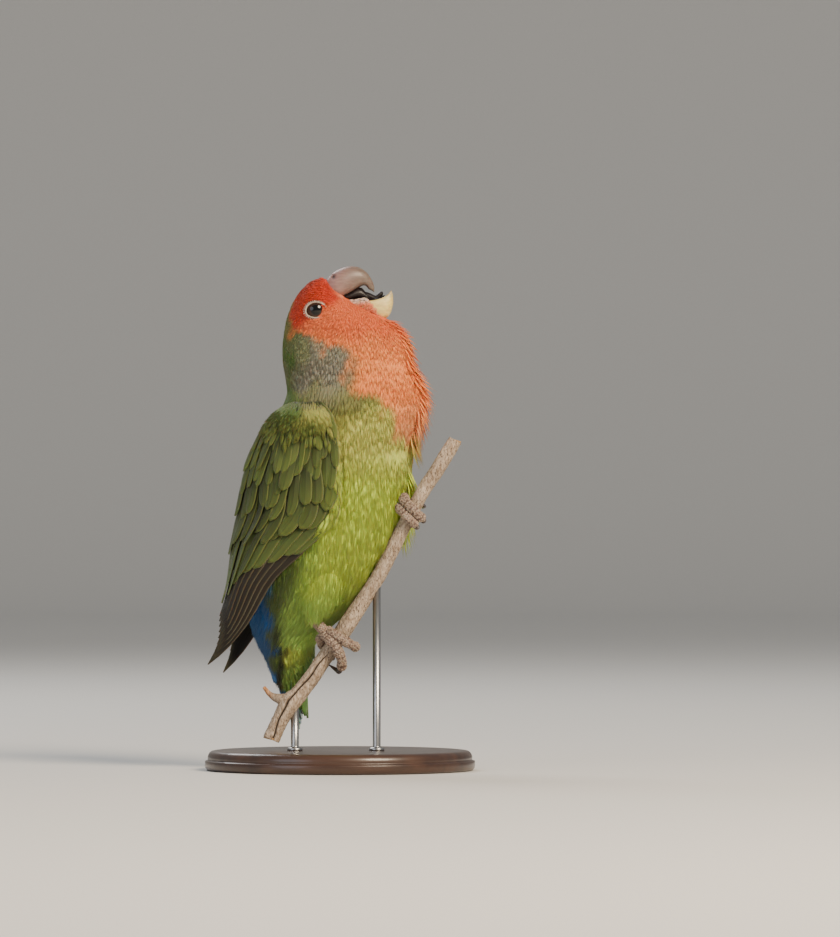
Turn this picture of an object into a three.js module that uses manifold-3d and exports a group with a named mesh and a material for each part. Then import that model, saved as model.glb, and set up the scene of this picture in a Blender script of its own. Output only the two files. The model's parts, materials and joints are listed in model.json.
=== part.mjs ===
// A life-size still model of a peach faced lovebird that grips an inclined twig, on a plain stand.
// Millimetres. +Z is up, the bird faces +X, its right side faces -Y, and the origin is the middle of the
// base's underside. The twig lies in a plane in front of the bird's own middle plane.
import * as THREE from "three";
import { mergeVertices } from "three/addons/utils/BufferGeometryUtils.js";
import Module from "manifold-3d";

const wasm = await Module();
wasm.setup();

// The bird's middle plane, the twig's plane, and the clearance that neighbouring pieces keep.
const BIRD_Y = 7;
const TWIG_Y = -5;
const GAP = 0.3;

// The coat from the tail root up to the forehead, in level slices: height, the backmost and foremost x on the
// middle plane, the half width, the share of the depth at which it is fullest, and how pointed the front is.
const COAT = [
  { z: 40.7, back: -27.6, front: -10.2, half: 9.2, full: 0.5, nose: 2 },
  { z: 46.3, back: -30.6, front: -8.1, half: 11.2, full: 0.5, nose: 2 },
  { z: 51.8, back: -32.8, front: -3.6, half: 13.6, full: 0.5, nose: 2 },
  { z: 57.4, back: -34.2, front: 3.0, half: 16.2, full: 0.5, nose: 2 },
  { z: 62.9, back: -34.8, front: 9.8, half: 18.6, full: 0.49, nose: 2 },
  { z: 70.3, back: -35, front: 15.8, half: 21, full: 0.48, nose: 2 },
  { z: 77.7, back: -35, front: 20, half: 22.8, full: 0.48, nose: 2 },
  { z: 85.1, back: -34.8, front: 23.4, half: 23.8, full: 0.47, nose: 2.1 },
  { z: 92.5, back: -34.5, front: 25.8, half: 24.2, full: 0.47, nose: 2.1 },
  { z: 99.9, back: -34, front: 27.1, half: 24.4, full: 0.47, nose: 2.1 },
  { z: 107.3, back: -33.4, front: 27.4, half: 24.2, full: 0.47, nose: 2.1 },
  { z: 114.7, back: -32.2, front: 27.2, half: 23.8, full: 0.47, nose: 2.1 },
  { z: 120.3, back: -30.4, front: 27.6, half: 23, full: 0.47, nose: 2 },
  { z: 125.8, back: -27.9, front: 29, half: 21.8, full: 0.46, nose: 1.95 },
  { z: 129.5, back: -25.6, front: 30.3, half: 20.6, full: 0.46, nose: 1.9 },
  { z: 133.2, back: -23.2, front: 31.4, half: 19.2, full: 0.45, nose: 1.9 },
  { z: 136.9, back: -21.4, front: 31.8, half: 17.8, full: 0.44, nose: 1.85 },
  { z: 140.6, back: -20.4, front: 31.6, half: 16.5, full: 0.43, nose: 1.85 },
  { z: 144.3, back: -20.6, front: 30.5, half: 15.5, full: 0.43, nose: 1.85 },
  { z: 148, back: -21.1, front: 28.6, half: 14.8, full: 0.43, nose: 1.85 },
  { z: 151.7, back: -21.5, front: 27, half: 14.3, full: 0.43, nose: 1.85 },
  { z: 155.4, back: -21.6, front: 26.4, half: 13.9, full: 0.43, nose: 1.85 },
  { z: 159.1, back: -21.4, front: 25.4, half: 13.6, full: 0.43, nose: 1.85 },
  { z: 162.8, back: -20.9, front: 23.4, half: 13.4, full: 0.43, nose: 1.8 },
  { z: 166.5, back: -20.2, front: 19.6, half: 13.2, full: 0.43, nose: 1.8 },
  { z: 168.7, back: -19.6, front: 15.6, half: 13, full: 0.44, nose: 1.8 },
  { z: 170.9, back: -18.8, front: 11.2, half: 12.7, full: 0.45, nose: 1.8 },
  { z: 173.2, back: -17.8, front: 6.8, half: 12.1, full: 0.46, nose: 1.85 },
  { z: 175.4, back: -16.5, front: 2.8, half: 11.2, full: 0.48, nose: 1.9 },
  { z: 177.6, back: -14.9, front: -0.2, half: 9.7, full: 0.5, nose: 2 },
  { z: 179.5, back: -13.1, front: -2.1, half: 7.9, full: 0.5, nose: 2 },
  { z: 181.3, back: -10.9, front: -3.6, half: 5.4, full: 0.5, nose: 2 },
  { z: 182.4, back: -8.9, front: -4.9, half: 2.8, full: 0.5, nose: 2 },
];
const COAT_SIDES = 28;
const TAIL_ROOT_Z = 47;
const SHOULDER_Z = 137;
const THROAT_Z = 149;
const CROWN_Z = 182.9;

// The eye, in the bird's own frame: across is the distance from the middle plane.
const EYE = { x: -8.9, z: 170.2, across: 8.5, radius: 4.4 };
const LID = { outer: 4.1, inner: 2.9, thick: 0.6, across: 12, tilt: 0.1 };

// The upper bill as slices from its sunk root to its tip: the point on the ridge, the point on the cutting
// edge, and the half width.
const UPPER_BILL = [
  { ridge: [-6.6, 179.6], edge: [-0.9, 174.2], half: 4.6 },
  { ridge: [-4.6, 182.3], edge: [1.3, 175.2], half: 5.2 },
  { ridge: [-2.2, 184.5], edge: [3.3, 176.3], half: 5.1 },
  { ridge: [0.7, 186], edge: [5.5, 177.6], half: 4.7 },
  { ridge: [3.9, 186.6], edge: [7.4, 178.9], half: 4.1 },
  { ridge: [7, 186.2], edge: [8.9, 179.4], half: 3.4 },
  { ridge: [9.8, 184.4], edge: [9.8, 179], half: 2.6 },
  { ridge: [11.7, 181.6], edge: [10.5, 178.1], half: 1.7 },
  { ridge: [12.6, 179.2], edge: [11.6, 177.6], half: 0.9 },
];
const UPPER_TIP = [12.6, 177];
const NOSTRIL = { x: -2.6, z: 182.6, across: 3.9, radius: 0.75 };

// The lower bill as slices from its sunk root to its tip, its trough and the tongue that lies in it.
const LOWER_BILL = [
  { ridge: [2.2, 174.2], edge: [4.6, 170.4], half: 4 },
  { ridge: [4.6, 174.4], edge: [8.6, 169.4], half: 4.6 },
  { ridge: [8, 175], edge: [12.4, 167.9], half: 4.8 },
  { ridge: [11.4, 175.5], edge: [15.8, 167], half: 4.6 },
  { ridge: [14.6, 176.1], edge: [18.3, 168.6], half: 4 },
  { ridge: [17.2, 177], edge: [19.5, 172.2], half: 3.1 },
  { ridge: [18.8, 177.9], edge: [19.6, 176], half: 2 },
];
const TROUGH = { from: [5.4, 176.4], middle: [12, 175.3], to: [18.8, 179.4], radius: 3.6, flat: 0.78 };
const TONGUE = [
  { at: [4.6, 176.4], radius: 1 },
  { at: [7.4, 176.5], radius: 1.6 },
  { at: [10.2, 175.8], radius: 1.8 },
  { at: [12.8, 174.8], radius: 1.75 },
  { at: [14.8, 176], radius: 1.5 },
  { at: [16, 177.7], radius: 1 },
];

// The folded wing is a bowed sheet. Each station gives a point on its back edge and on its front edge as x, z
// and the distance from the middle plane, and how far the sheet bows out between them.
const WING = [
  { along: 0, back: [-16.8, 134.4, 8], front: [-5.6, 134.4, 17], bow: 3.2 },
  { along: 0.15, back: [-26.2, 126.6, 7.4], front: [-1.6, 125.1, 20.6], bow: 5.2 },
  { along: 0.3, back: [-33, 111.7, 6.4], front: [-0.6, 109.2, 22.8], bow: 6.6 },
  { along: 0.45, back: [-36, 96.2, 5.4], front: [-2.2, 94.4, 23.6], bow: 7 },
  { along: 0.6, back: [-38.5, 81.4, 5], front: [-12.6, 83.3, 24], bow: 6.4 },
  { along: 0.75, back: [-40.3, 65.9, 5.2], front: [-25.2, 72.2, 21], bow: 4.4 },
  { along: 0.88, back: [-44.8, 51.8, 5.8], front: [-35.9, 54.8, 14.5], bow: 2.2 },
  { along: 1, back: [-49.4, 40, 6.8], front: [-48.4, 39.2, 8.6], bow: 0.4 },
];
const ARM = { steps: 9, thick: [1.8, 2.4, 2.2, 1.5, 0.7] };
// How far the tip of each wing hangs forward and down from the mirrored place.
const DROOP = { right: [0, 0], left: [5.2, -3.4] };
const WING_OVERS = [0, 0.18, 0.39, 0.61, 0.82, 1];
const WING_STEP = 0.075;
const WING_ROOM = { under: [0.5, 1.3], over: 9 };

// The tiers of wing feathers: how many, where their roots and tips lie along the sheet at its back and front
// edge, the spread across it, half width at the widest, height of root and tip over the sheet, and the roll
// that lifts each front edge over the next feather.
const TIERS = [
  { count: 6, half: 2.7, root: [0.58, 0.58], tip: [0.88, 1], spread: [0.16, 0.95], rise: [0.8, 0.8], roll: 6 },
  { count: 7, half: 3.4, root: [0.45, 0.42], tip: [0.79, 0.62], spread: [0.06, 0.96], rise: [1.2, 1.4], roll: 8 },
  { count: 7, half: 3.3, root: [0.38, 0.33], tip: [0.6, 0.5], spread: [0.07, 0.96], rise: [1.4, 2.3], roll: 9 },
  { count: 7, half: 3.3, root: [0.26, 0.22], tip: [0.45, 0.37], spread: [0.07, 0.95], rise: [1.8, 3], roll: 9 },
  { count: 6, half: 3.3, root: [0.13, 0.1], tip: [0.3, 0.25], spread: [0.1, 0.94], rise: [1.9, 3.3], roll: 9 },
];
const TIER_SHAPES = ["quill", "broad", "covert", "covert", "covert"];

// The outline of a vane from root to tip: the share of its length, and of its full half width there.
const SHAPES = {
  quill: [[0, 0.6], [0.3, 1], [0.6, 0.95], [0.85, 0.66], [1, 0.16]],
  broad: [[0, 0.6], [0.35, 1], [0.7, 1], [0.92, 0.72], [1, 0.3]],
  covert: [[0, 0.6], [0.55, 1], [0.86, 0.8], [1, 0.34]],
};
const VANE = { thick: 0.6, cup: 0.35 };

// The tail runs down behind the twig and turns a little about its own length.
const TAIL = { root: [-21.2, 50], tip: [-15.6, 11.2], drift: 1.5, twist: 16 };
const TAIL_PAIRS = 5;
const TAIL_VANE = { half: 3.1, shorter: 1.7, apart: 1, fan: 0.7, below: 0.55 };
// Tail coverts in rows: count, where roots and tips lie down the tail, the spread and height over the core.
const TAIL_COVERTS = [
  { count: 4, root: 0.04, tip: 0.68, spread: 5.6, side: 1, lift: [4.6, 2.3], half: 2.9 },
  { count: 5, root: -0.14, tip: 0.44, spread: 8.4, side: 1, lift: [8, 4.9], half: 3.2 },
  { count: 4, root: 0.12, tip: 0.8, spread: 5.2, side: -1, lift: [7.4, 4], half: 2.9 },
  { count: 5, root: -0.1, tip: 0.52, spread: 8.6, side: -1, lift: [11.6, 7.2], half: 3.3 },
];
const TAIL_CORE = [
  { at: -0.04, thick: [9.2, 12], half: 11 },
  { at: 0.14, thick: [7.6, 10.2], half: 9.6 },
  { at: 0.34, thick: [5.2, 7.4], half: 7.8 },
  { at: 0.54, thick: [2.6, 4.4], half: 6.2 },
  { at: 0.7, thick: [1, 1.8], half: 4.6 },
];

// The twig's middle line as x and z, with its radius, from its lower cut to its upper cut, and a short spur.
const TWIG = [
  { at: [-25.4, 11.6], radius: 3.3 },
  { at: [-21.6, 19.6], radius: 3.2 },
  { at: [-18.4, 25], radius: 3.9 },
  { at: [-15.5, 27.8], radius: 3.4 },
  { at: [-10, 35.1], radius: 3.1 },
  { at: [-5.5, 41.8], radius: 3 },
  { at: [-0.4, 49.2], radius: 3 },
  { at: [3.3, 54.8], radius: 3.3 },
  { at: [9.6, 64.4], radius: 2.9 },
  { at: [13.3, 70.3], radius: 2.8 },
  { at: [18.9, 80.7], radius: 2.8 },
  { at: [24.3, 91.4], radius: 2.7 },
  { at: [30.7, 103.2], radius: 2.7 },
  { at: [36.3, 111.7], radius: 2.8 },
  { at: [42.6, 122.1], radius: 2.6 },
];
const TWIG_SIDES = 12;
const SPUR = { root: [-19.5, 25.6], bend: [-25, 27.6], tip: [-28.2, 31], radius: 1.9 };

// Each foot: its place up the twig, the angle of its sole round it, the ankle, and the toes. Angles are about
// the twig, from the side where the bird is towards the right side. Each toe curls one way from the sole,
// reaches an angle, drifts up or down the twig as it goes, late or evenly, and stands off the bark at its end.
const FEET = {
  right: {
    height: 48.2,
    sole: 28,
    ankle: [-9.8, -10.8, 56],
    toes: [
      { curl: 1, reach: 146, drift: [-0.9, -8.2], late: 2.4, off: 2, radius: 2 },
      { curl: 1, reach: 140, drift: [0.9, 1.9], late: 1, off: 2.4, radius: 1.95 },
      { curl: -1, reach: 128, drift: [-1.6, -6.2], late: 1, off: 0.5, radius: 1.9 },
      { curl: -1, reach: 98, drift: [-0.2, -2.2], late: 1, off: 0.5, radius: 1.75 },
    ],
  },
  left: {
    height: 96.8,
    sole: -12,
    ankle: [18.6, 4.6, 98],
    toes: [
      { curl: 1, reach: 156, drift: [1.8, -2], late: 1.4, off: 1.4, radius: 1.9 },
      { curl: 1, reach: 146, drift: [-1.3, -5.2], late: 1.2, off: 0.7, radius: 1.9 },
      { curl: -1, reach: 100, drift: [0.8, 2.4], late: 1, off: 0.4, radius: 1.75 },
      { curl: -1, reach: 92, drift: [-0.8, -3.4], late: 1, off: 0.4, radius: 1.65 },
    ],
  },
};
const SOLE_RADIUS = 2.2;
const SHANK_RADIUS = 2.1;
const THIGH = { knee: [-4.6, -6.2, 72.5], low: 3, hip: 9.2 };
const CLAW = { arc: 34, radius: 0.85, off: 0.6, apart: 12 };

// The stand: a round base and two rods up to the twig.
const BASE = { radius: 50, thick: 7.4, bevel: 1.2, sides: 48 };
const RODS = { lower: { x: -16.6, radius: 1.5 }, upper: { x: 13.6, radius: 1.5 } };

const COLOURS = {
  green: "#8d9a38",
  olive: "#4c5426",
  salmon: "#f08a63",
  blue: "#1b6fa8",
  horn: "#cdbb9a",
  mauve: "#9a857f",
  black: "#1c1614",
  skin: "#b9a08f",
  wood: "#a8917c",
  base: "#4a3a30",
  steel: "#9a9a9a",
};

// Solids

/** The closed solid of a geometry, turned to face out. */
function solid(geometry) {
  const bare = geometry.clone();
  bare.deleteAttribute("normal");
  bare.deleteAttribute("uv");
  const merged = mergeVertices(bare, 1e-4);
  const vertProperties = merged.attributes.position.array;
  const make = (triVerts) => new wasm.Manifold(new wasm.Mesh({ numProp: 3, vertProperties, triVerts }));
  const made = make(new Uint32Array(merged.index.array));
  return made.volume() > 0 ? made : make(new Uint32Array(merged.index.array).reverse());
}

/** The union of solids, of which only the largest closed body is kept. */
function fuse(solids) {
  return largest(solids.reduce((sum, one) => sum.add(one)));
}

/** The largest body of a solid. */
function largest(one) {
  return one.decompose().sort((a, b) => b.volume() - a.volume())[0];
}

/** A closed loft through rings of an even number of points, with a strip of triangles over each end. */
function loft(rings) {
  const sides = rings[0].length;
  const last = (rings.length - 1) * sides;
  const index = [];
  for (let side = 0; side < sides; side++) {
    const next = (side + 1) % sides;
    for (let ring = 0; ring < last; ring += sides) {
      const [a, b, c, d] = [ring + side, ring + next, ring + sides + next, ring + sides + side];
      index.push(a, b, c, a, c, d);
    }
  }
  for (let a = 0; a < sides / 2 - 1; a++) {
    const [b, c, d] = [a + 1, sides - 2 - a, sides - 1 - a];
    index.push(a, c, b, a, d, c, last + a, last + b, last + c, last + a, last + c, last + d);
  }
  return solid(new THREE.BufferGeometry().setFromPoints(rings.flat()).setIndex(index));
}

/** A tube of round rings along a curve through points, each with its own radius, grown all round. */
function tube(points, radii, sides, grow = 0, flatten = 1) {
  const curve = new THREE.CatmullRomCurve3(points);
  const steps = points.length - 1;
  let across = new THREE.Vector3(0, 1, 0);
  const rings = radii.map((radius, i) => {
    const tangent = curve.getTangent(i / steps);
    across = across.clone().addScaledVector(tangent, -across.dot(tangent)).normalize();
    const up = tangent.clone().cross(across);
    const middle = points[i].clone().addScaledVector(tangent, i === 0 ? -grow : i === steps ? grow : 0);
    const [wide, high] = [radius + grow, radius * flatten + grow];
    return round(sides, (c, s) =>
      middle.clone().addScaledVector(across, wide * c).addScaledVector(up, high * s),
    );
  });
  return loft(rings);
}

/** Points round a circle, each made from its cosine and sine. */
function round(sides, place) {
  return Array.from({ length: sides }, (_, i) => {
    const angle = (2 * Math.PI * i) / sides;
    return place(Math.cos(angle), Math.sin(angle));
  });
}

/** A ball, coarse enough for a small piece. */
function ball(centre, radius, detail = 16) {
  const geometry = new THREE.SphereGeometry(radius, detail, detail / 2);
  return solid(geometry.translate(centre.x, centre.y, centre.z));
}

// Interpolation

/** The value of a station table at a place, on a smooth curve through its stations. */
function along(stations, place, key, at) {
  const spots = stations.map((s) => s[key]);
  const t = Math.min(Math.max(at, spots[0]), spots[spots.length - 1]);
  let i = 0;
  while (i < spots.length - 2 && t > spots[i + 1]) i++;
  const value = (k) => place(stations[Math.min(Math.max(k, 0), stations.length - 1)]);
  const spot = (k) => spots[Math.min(Math.max(k, 0), spots.length - 1)];
  const slope = (k) => (value(k + 1) - value(k - 1)) / (spot(k + 1) - spot(k - 1));
  const width = spots[i + 1] - spots[i];
  const u = (t - spots[i]) / width;
  return (
    value(i) * (1 + 2 * u) * (1 - u) ** 2 +
    value(i + 1) * u * u * (3 - 2 * u) +
    width * (slope(i) * u * (1 - u) ** 2 - slope(i + 1) * u * u * (1 - u))
  );
}

/** Values spaced evenly from one to another. */
function spaced(from, to, count) {
  return Array.from({ length: count }, (_, i) => from + ((to - from) * i) / (count - 1));
}

const mix = THREE.MathUtils.lerp;
const degrees = THREE.MathUtils.degToRad;

/** A point of the bird, given on the middle plane and at a signed distance from it. */
function bird(x, across, z) {
  return new THREE.Vector3(x, BIRD_Y + across, z);
}

// Head, neck and torso

/** One level slice of the coat. */
function coatRing(z) {
  const get = (name) => along(COAT, (s) => s[name], "z", z);
  const back = get("back");
  const depth = get("front") - back;
  const fullest = back + depth * get("full");
  const nose = get("nose");
  return round(COAT_SIDES, (c, s) => {
    const power = c > 0 ? 2 / nose : 0.95;
    const reach = c > 0 ? back + depth - fullest : fullest - back;
    const x = fullest + Math.sign(c) * reach * Math.abs(c) ** power;
    return bird(x, get("half") * Math.sign(s) * Math.abs(s) ** power, z);
  });
}

/** The coat between two heights. */
function coat(low, high, count) {
  return loft(spaced(low, high, count).map(coatRing));
}

/** The eyeball on one side, or the pocket that it sits in. */
function eyeball(side, grow = 0) {
  return ball(bird(EYE.x, side * EYE.across, EYE.z), EYE.radius + grow, 14);
}

/** The ring of bare skin and lid round one eye. */
function lid(side) {
  const ring = new THREE.TorusGeometry((LID.outer + LID.inner) / 2, (LID.outer - LID.inner) / 2, 6, 18);
  ring.scale(1, 0.88, LID.thick / (LID.outer - LID.inner) * 2);
  ring.rotateX(Math.PI / 2 + side * LID.tilt);
  const place = bird(EYE.x, side * LID.across, EYE.z);
  return solid(ring.translate(place.x, place.y, place.z));
}

/** The head, with lids, eye pockets, and pockets for the roots of the bill. */
function head() {
  const levels = [...spaced(THROAT_Z + GAP, 176, 11), ...spaced(177.6, CROWN_Z - 0.3, 5)];
  let made = loft(levels.map(coatRing));
  for (const side of [-1, 1]) made = made.add(lid(side)).subtract(eyeball(side, GAP));
  const mouth = tongue(0.55);
  return largest(made.subtract(upperBill(0.65)).subtract(lowerBill(0.6)).subtract(mouth));
}

/** The torso, with room for the wings, the thighs and the twig that it leans on. */
function torso() {
  let made = coat(TAIL_ROOT_Z + GAP, SHOULDER_Z, 20);
  for (const side of [-1, 1]) made = made.subtract(wingRoom(side));
  for (const name of ["right", "left"]) made = made.subtract(shank(name, GAP));
  return largest(made.subtract(thigh(GAP)).subtract(twig(GAP)).subtract(gripRoom()));
}

// Bill and tongue

/** A horn of slices in the middle plane, each spanning from a ridge point to an edge point, grown all round. */
function horn(slices, tip, grow, sides = 12) {
  const plane = (point) => new THREE.Vector2(...point);
  const middles = slices.map(({ ridge, edge }) => plane(ridge).add(plane(edge)).divideScalar(2));
  const back = middles[0].clone().sub(middles[1]).setLength(grow);
  const rings = slices.map(({ ridge, half }, i) => {
    const up = plane(ridge).sub(middles[i]);
    up.setLength(up.length() + grow);
    const middle = i === 0 ? middles[0].clone().add(back) : middles[i];
    return round(sides, (c, s) => {
      const flank = Math.sign(s) * Math.abs(s) ** 0.8;
      return bird(middle.x + up.x * c, (half + grow) * flank, middle.y + up.y * c);
    });
  });
  if (tip) rings.push(round(sides, (c, s) => bird(tip[0], 0.12 * s, tip[1] + 0.12 * c)));
  return loft(rings);
}

/** The upper bill, or a pocket for it. */
function upperBill(grow = 0) {
  const made = horn(UPPER_BILL, UPPER_TIP, grow);
  if (grow) return made;
  return [-1, 1].reduce(
    (sum, side) => sum.subtract(ball(bird(NOSTRIL.x, side * NOSTRIL.across, NOSTRIL.z), NOSTRIL.radius, 8)),
    made,
  );
}

/** The lower bill with its trough, or a pocket for it. */
function lowerBill(grow = 0) {
  const made = horn(LOWER_BILL, null, grow);
  if (grow) return made;
  const points = [TROUGH.from, TROUGH.middle, TROUGH.to].map(([x, z]) => bird(x, 0, z));
  const radii = [0.8, 1, 0.55].map((share) => share * TROUGH.radius);
  return largest(made.subtract(tube(points, radii, 12, 0, TROUGH.flat)));
}

/** The tongue, or a pocket for it. */
function tongue(grow = 0) {
  const points = TONGUE.map(({ at }) => bird(at[0], 0, at[1]));
  return tube(points, TONGUE.map(({ radius }) => radius), 10, grow, 0.62);
}

// Wings

/** A point of the folded wing's sheet: along from shoulder to tip, over from back edge to front edge. */
function sheet(side, at, over, height) {
  const flat = (u, v) => {
    const edge = (name) => [0, 1, 2].map((k) => along(WING, (s) => s[name][k], "along", u));
    const [back, front] = [edge("back"), edge("front")];
    const [x, z, across] = [0, 1, 2].map((k) => mix(back[k], front[k], v));
    const chord = new THREE.Vector2(front[0] - back[0], front[2] - back[2]).normalize();
    const bow = along(WING, (s) => s.bow, "along", u) * 4 * v * (1 - v);
    const droop = (side < 0 ? DROOP.right : DROOP.left).map((shift) => shift * u ** 3);
    return bird(x - chord.y * bow + droop[0], side * (across + chord.x * bow), z + droop[1]);
  };
  const step = 0.01;
  const held = Math.min(Math.max(at, step), 1 - step);
  const down = flat(held + step, over).sub(flat(held - step, over)).divideScalar(2 * step);
  const spot = flat(held, over).addScaledVector(down, at - held);
  const forward = flat(held, over + step).sub(flat(held, over - step));
  const normal = down.clone().cross(forward).normalize().multiplyScalar(side);
  if (normal.y * side < 0) normal.negate();
  return { point: spot.addScaledVector(normal, height), normal, down: down.normalize() };
}

/** A slab that follows the sheet between two heights, at set stations along and over it. */
function slab(side, stations, overs, low, high) {
  const rings = stations.map((at) => {
    const row = (height) => overs.map((over) => sheet(side, at, over, height(at)).point);
    return [...row(high), ...row(low).reverse()];
  });
  return loft(rings);
}

/** The space that a wing takes from the torso. */
function wingRoom(side) {
  const stations = spaced(-1, 14, 16).map((step) => step * WING_STEP);
  const under = (at) => -mix(WING_ROOM.under[0], WING_ROOM.under[1], at);
  return slab(side, stations, [-0.04, ...WING_OVERS, 1.04], under, () => WING_ROOM.over);
}

/** A feather vane along a path of frames, one for each station of its outline. A covert is keeled below. */
function vane(frameAt, shape, half, roll, side) {
  const turn = degrees(roll);
  const rings = SHAPES[shape].map(([share, width]) => {
    const { point, normal, down } = frameAt(share);
    const edge = normal.clone().cross(down).normalize().multiplyScalar(side);
    const across = edge.clone().multiplyScalar(Math.cos(turn)).addScaledVector(normal, Math.sin(turn));
    const up = normal.clone().multiplyScalar(Math.cos(turn)).addScaledVector(edge, -Math.sin(turn));
    const spot = (t, height) =>
      point.clone().addScaledVector(across, t * width * half).addScaledVector(up, height - VANE.cup * t * t);
    const top = [-1, 0, 1].map((t) => spot(t, VANE.thick / 2));
    if (shape === "covert") return [...top, spot(0, -VANE.thick)];
    return [...top, ...[1, 0, -1].map((t) => spot(t, -VANE.thick / 2))];
  });
  return loft(rings);
}

/** One tier of wing feathers. */
function tier(side, { count, root, tip, spread, half, rise, roll }, shape) {
  return spaced(spread[0], spread[1], count).map((over) => {
    const share = (over - spread[0]) / (spread[1] - spread[0]);
    const from = mix(root[0], root[1], share);
    const to = mix(tip[0], tip[1], share);
    const lift = 0.5 * (1 - share);
    const frameAt = (s) =>
      sheet(side, mix(from, to, s), over, mix(rise[0], rise[1], s) + lift * Math.min(1, 2 * s));
    return vane(frameAt, shape, half, roll, -side);
  });
}

/** A folded wing: the arm under its coverts, and every tier of feathers. */
function wing(side) {
  const thick = ARM.thick.map((value, i) => ({ at: i / (ARM.thick.length - 1), value }));
  const stations = spaced(0, ARM.steps, ARM.steps + 1).map((step) => step * WING_STEP);
  const height = (at) => along(thick, (s) => s.value, "at", at / stations[ARM.steps]);
  const arm = slab(side, stations, WING_OVERS, () => 0, height);
  return fuse([arm, ...TIERS.flatMap((one, i) => tier(side, one, TIER_SHAPES[i]))]);
}

// Tail

/** A frame on the tail: down it from root to tip, out to the side, and over its top. */
function tailFrame(down, out, over) {
  const place = new THREE.Vector3(
    mix(TAIL.root[0], TAIL.tip[0], down),
    BIRD_Y + TAIL.drift * Math.max(0, down),
    mix(TAIL.root[1], TAIL.tip[1], down),
  );
  const run = [TAIL.tip[0] - TAIL.root[0], TAIL.drift, TAIL.tip[1] - TAIL.root[1]];
  const line = new THREE.Vector3(...run).normalize();
  const turn = degrees(TAIL.twist * Math.max(0, down));
  const flat = new THREE.Vector3(0, 1, 0).addScaledVector(line, -line.y).normalize();
  const top = line.clone().cross(flat).normalize();
  if (top.x > 0) top.negate();
  const side = flat.clone().applyAxisAngle(line, turn);
  const normal = top.clone().applyAxisAngle(line, turn);
  return { point: place.addScaledVector(side, out).addScaledVector(normal, over), normal, down: line, side };
}

/** The tail core that the coverts and tail feathers grow from. */
function tailCore() {
  return loft(
    TAIL_CORE.map(({ at, thick, half }) =>
      round(16, (c, s) => tailFrame(at, half * s, c > 0 ? thick[0] * c : thick[1] * c).point),
    ),
  );
}

/** The tail feathers, the middle pair on top. */
function tailFeathers() {
  return spaced(0, TAIL_PAIRS - 1, TAIL_PAIRS).flatMap((pair) =>
    [-1, 1].map((side) => {
      const shorter = (TAIL_VANE.shorter * pair) / (TAIL.root[1] - TAIL.tip[1]);
      const frameAt = (s) => {
        const down = mix(0.3, 1 - shorter, s);
        const out = side * (0.5 * TAIL_VANE.apart + pair * (TAIL_VANE.apart + TAIL_VANE.fan * (down - 0.3)));
        return tailFrame(down, out, 0.9 - TAIL_VANE.below * pair - (side > 0 ? 0.25 : 0));
      };
      return vane(frameAt, "broad", TAIL_VANE.half, 4 * side, 1);
    }),
  );
}

/** One row of coverts over or under the tail root. */
function tailCoverts({ count, root, tip, spread, side, lift, half }) {
  return spaced(-1, 1, count).map((share) => {
    const angle = share * 1.25;
    const frameAt = (s) => {
      const height = mix(lift[0], lift[1], s) * Math.cos(angle) + 0.35 * s;
      const out = mix(spread, spread * 0.62, s) * Math.sin(angle);
      const frame = tailFrame(mix(root, tip - 0.1 * share * share, s), out, side * height);
      const normal = frame.normal.clone().multiplyScalar(side);
      return { ...frame, normal: normal.addScaledVector(frame.side, 0.8 * Math.sin(angle)).normalize() };
    };
    return vane(frameAt, "covert", half, 0, side);
  });
}

/** The tail with its coverts, cut clear of the torso and the twig. */
function tail() {
  const made = fuse([tailCore(), ...tailFeathers(), ...TAIL_COVERTS.flatMap(tailCoverts)]);
  const above = solid(new THREE.BoxGeometry(80, 80, 40).translate(-20, BIRD_Y, TAIL_ROOT_Z + 20));
  return largest(made.subtract(above).subtract(twig(GAP)));
}

// Legs

/** The twig's frame at a height: its middle, its direction, and the side on which the bird is. */
function twigFrame(z) {
  const stations = TWIG.map(({ at, radius }) => ({ z: at[1], x: at[0], radius }));
  const get = (name, height) => along(stations, (s) => s[name], "z", height);
  const line = new THREE.Vector3(get("x", z + 1) - get("x", z - 1), 0, 2).normalize();
  return {
    point: new THREE.Vector3(get("x", z), TWIG_Y, z),
    line,
    inner: new THREE.Vector3(-line.z, 0, line.x),
    radius: get("radius", z),
  };
}

/** A point round the twig at a foot: drift along it, angle about it, and distance out from its bark. */
function onTwig(name, drift, angle, out) {
  const { height } = FEET[name];
  const base = twigFrame(height);
  const { point, line, inner, radius } = twigFrame(height + drift * base.line.z);
  const turn = degrees(angle);
  const spot = point.addScaledVector(inner, (radius + out) * Math.cos(turn));
  return { point: spot.add(new THREE.Vector3(0, -(radius + out) * Math.sin(turn), 0)), line };
}

/** A point of a toe's middle line, at a share of its reach and a distance out from the bark. */
function toePoint(name, { curl, drift, late, reach }, share, out) {
  const shift = mix(drift[0], drift[1], Math.min(share, 1.06) ** late);
  return onTwig(name, shift, FEET[name].sole + curl * reach * share, out).point;
}

/** A foot: its sole and four toes round the twig. */
function foot(name) {
  const sole = ball(onTwig(name, 0, FEET[name].sole, GAP + SOLE_RADIUS).point, SOLE_RADIUS, 12);
  const toes = FEET[name].toes.map((toe) => {
    const points = spaced(0.02, 1, 7).map((share) =>
      toePoint(name, toe, share, GAP + toe.radius + toe.off * share ** 2 * (3 - 2 * share)),
    );
    return tube(points, points.map((_, i) => toe.radius * (1.02 - 0.03 * i)), 8);
  });
  return largest(fuse([sole, ...toes]).subtract(twig(GAP * 0.8)));
}

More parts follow.
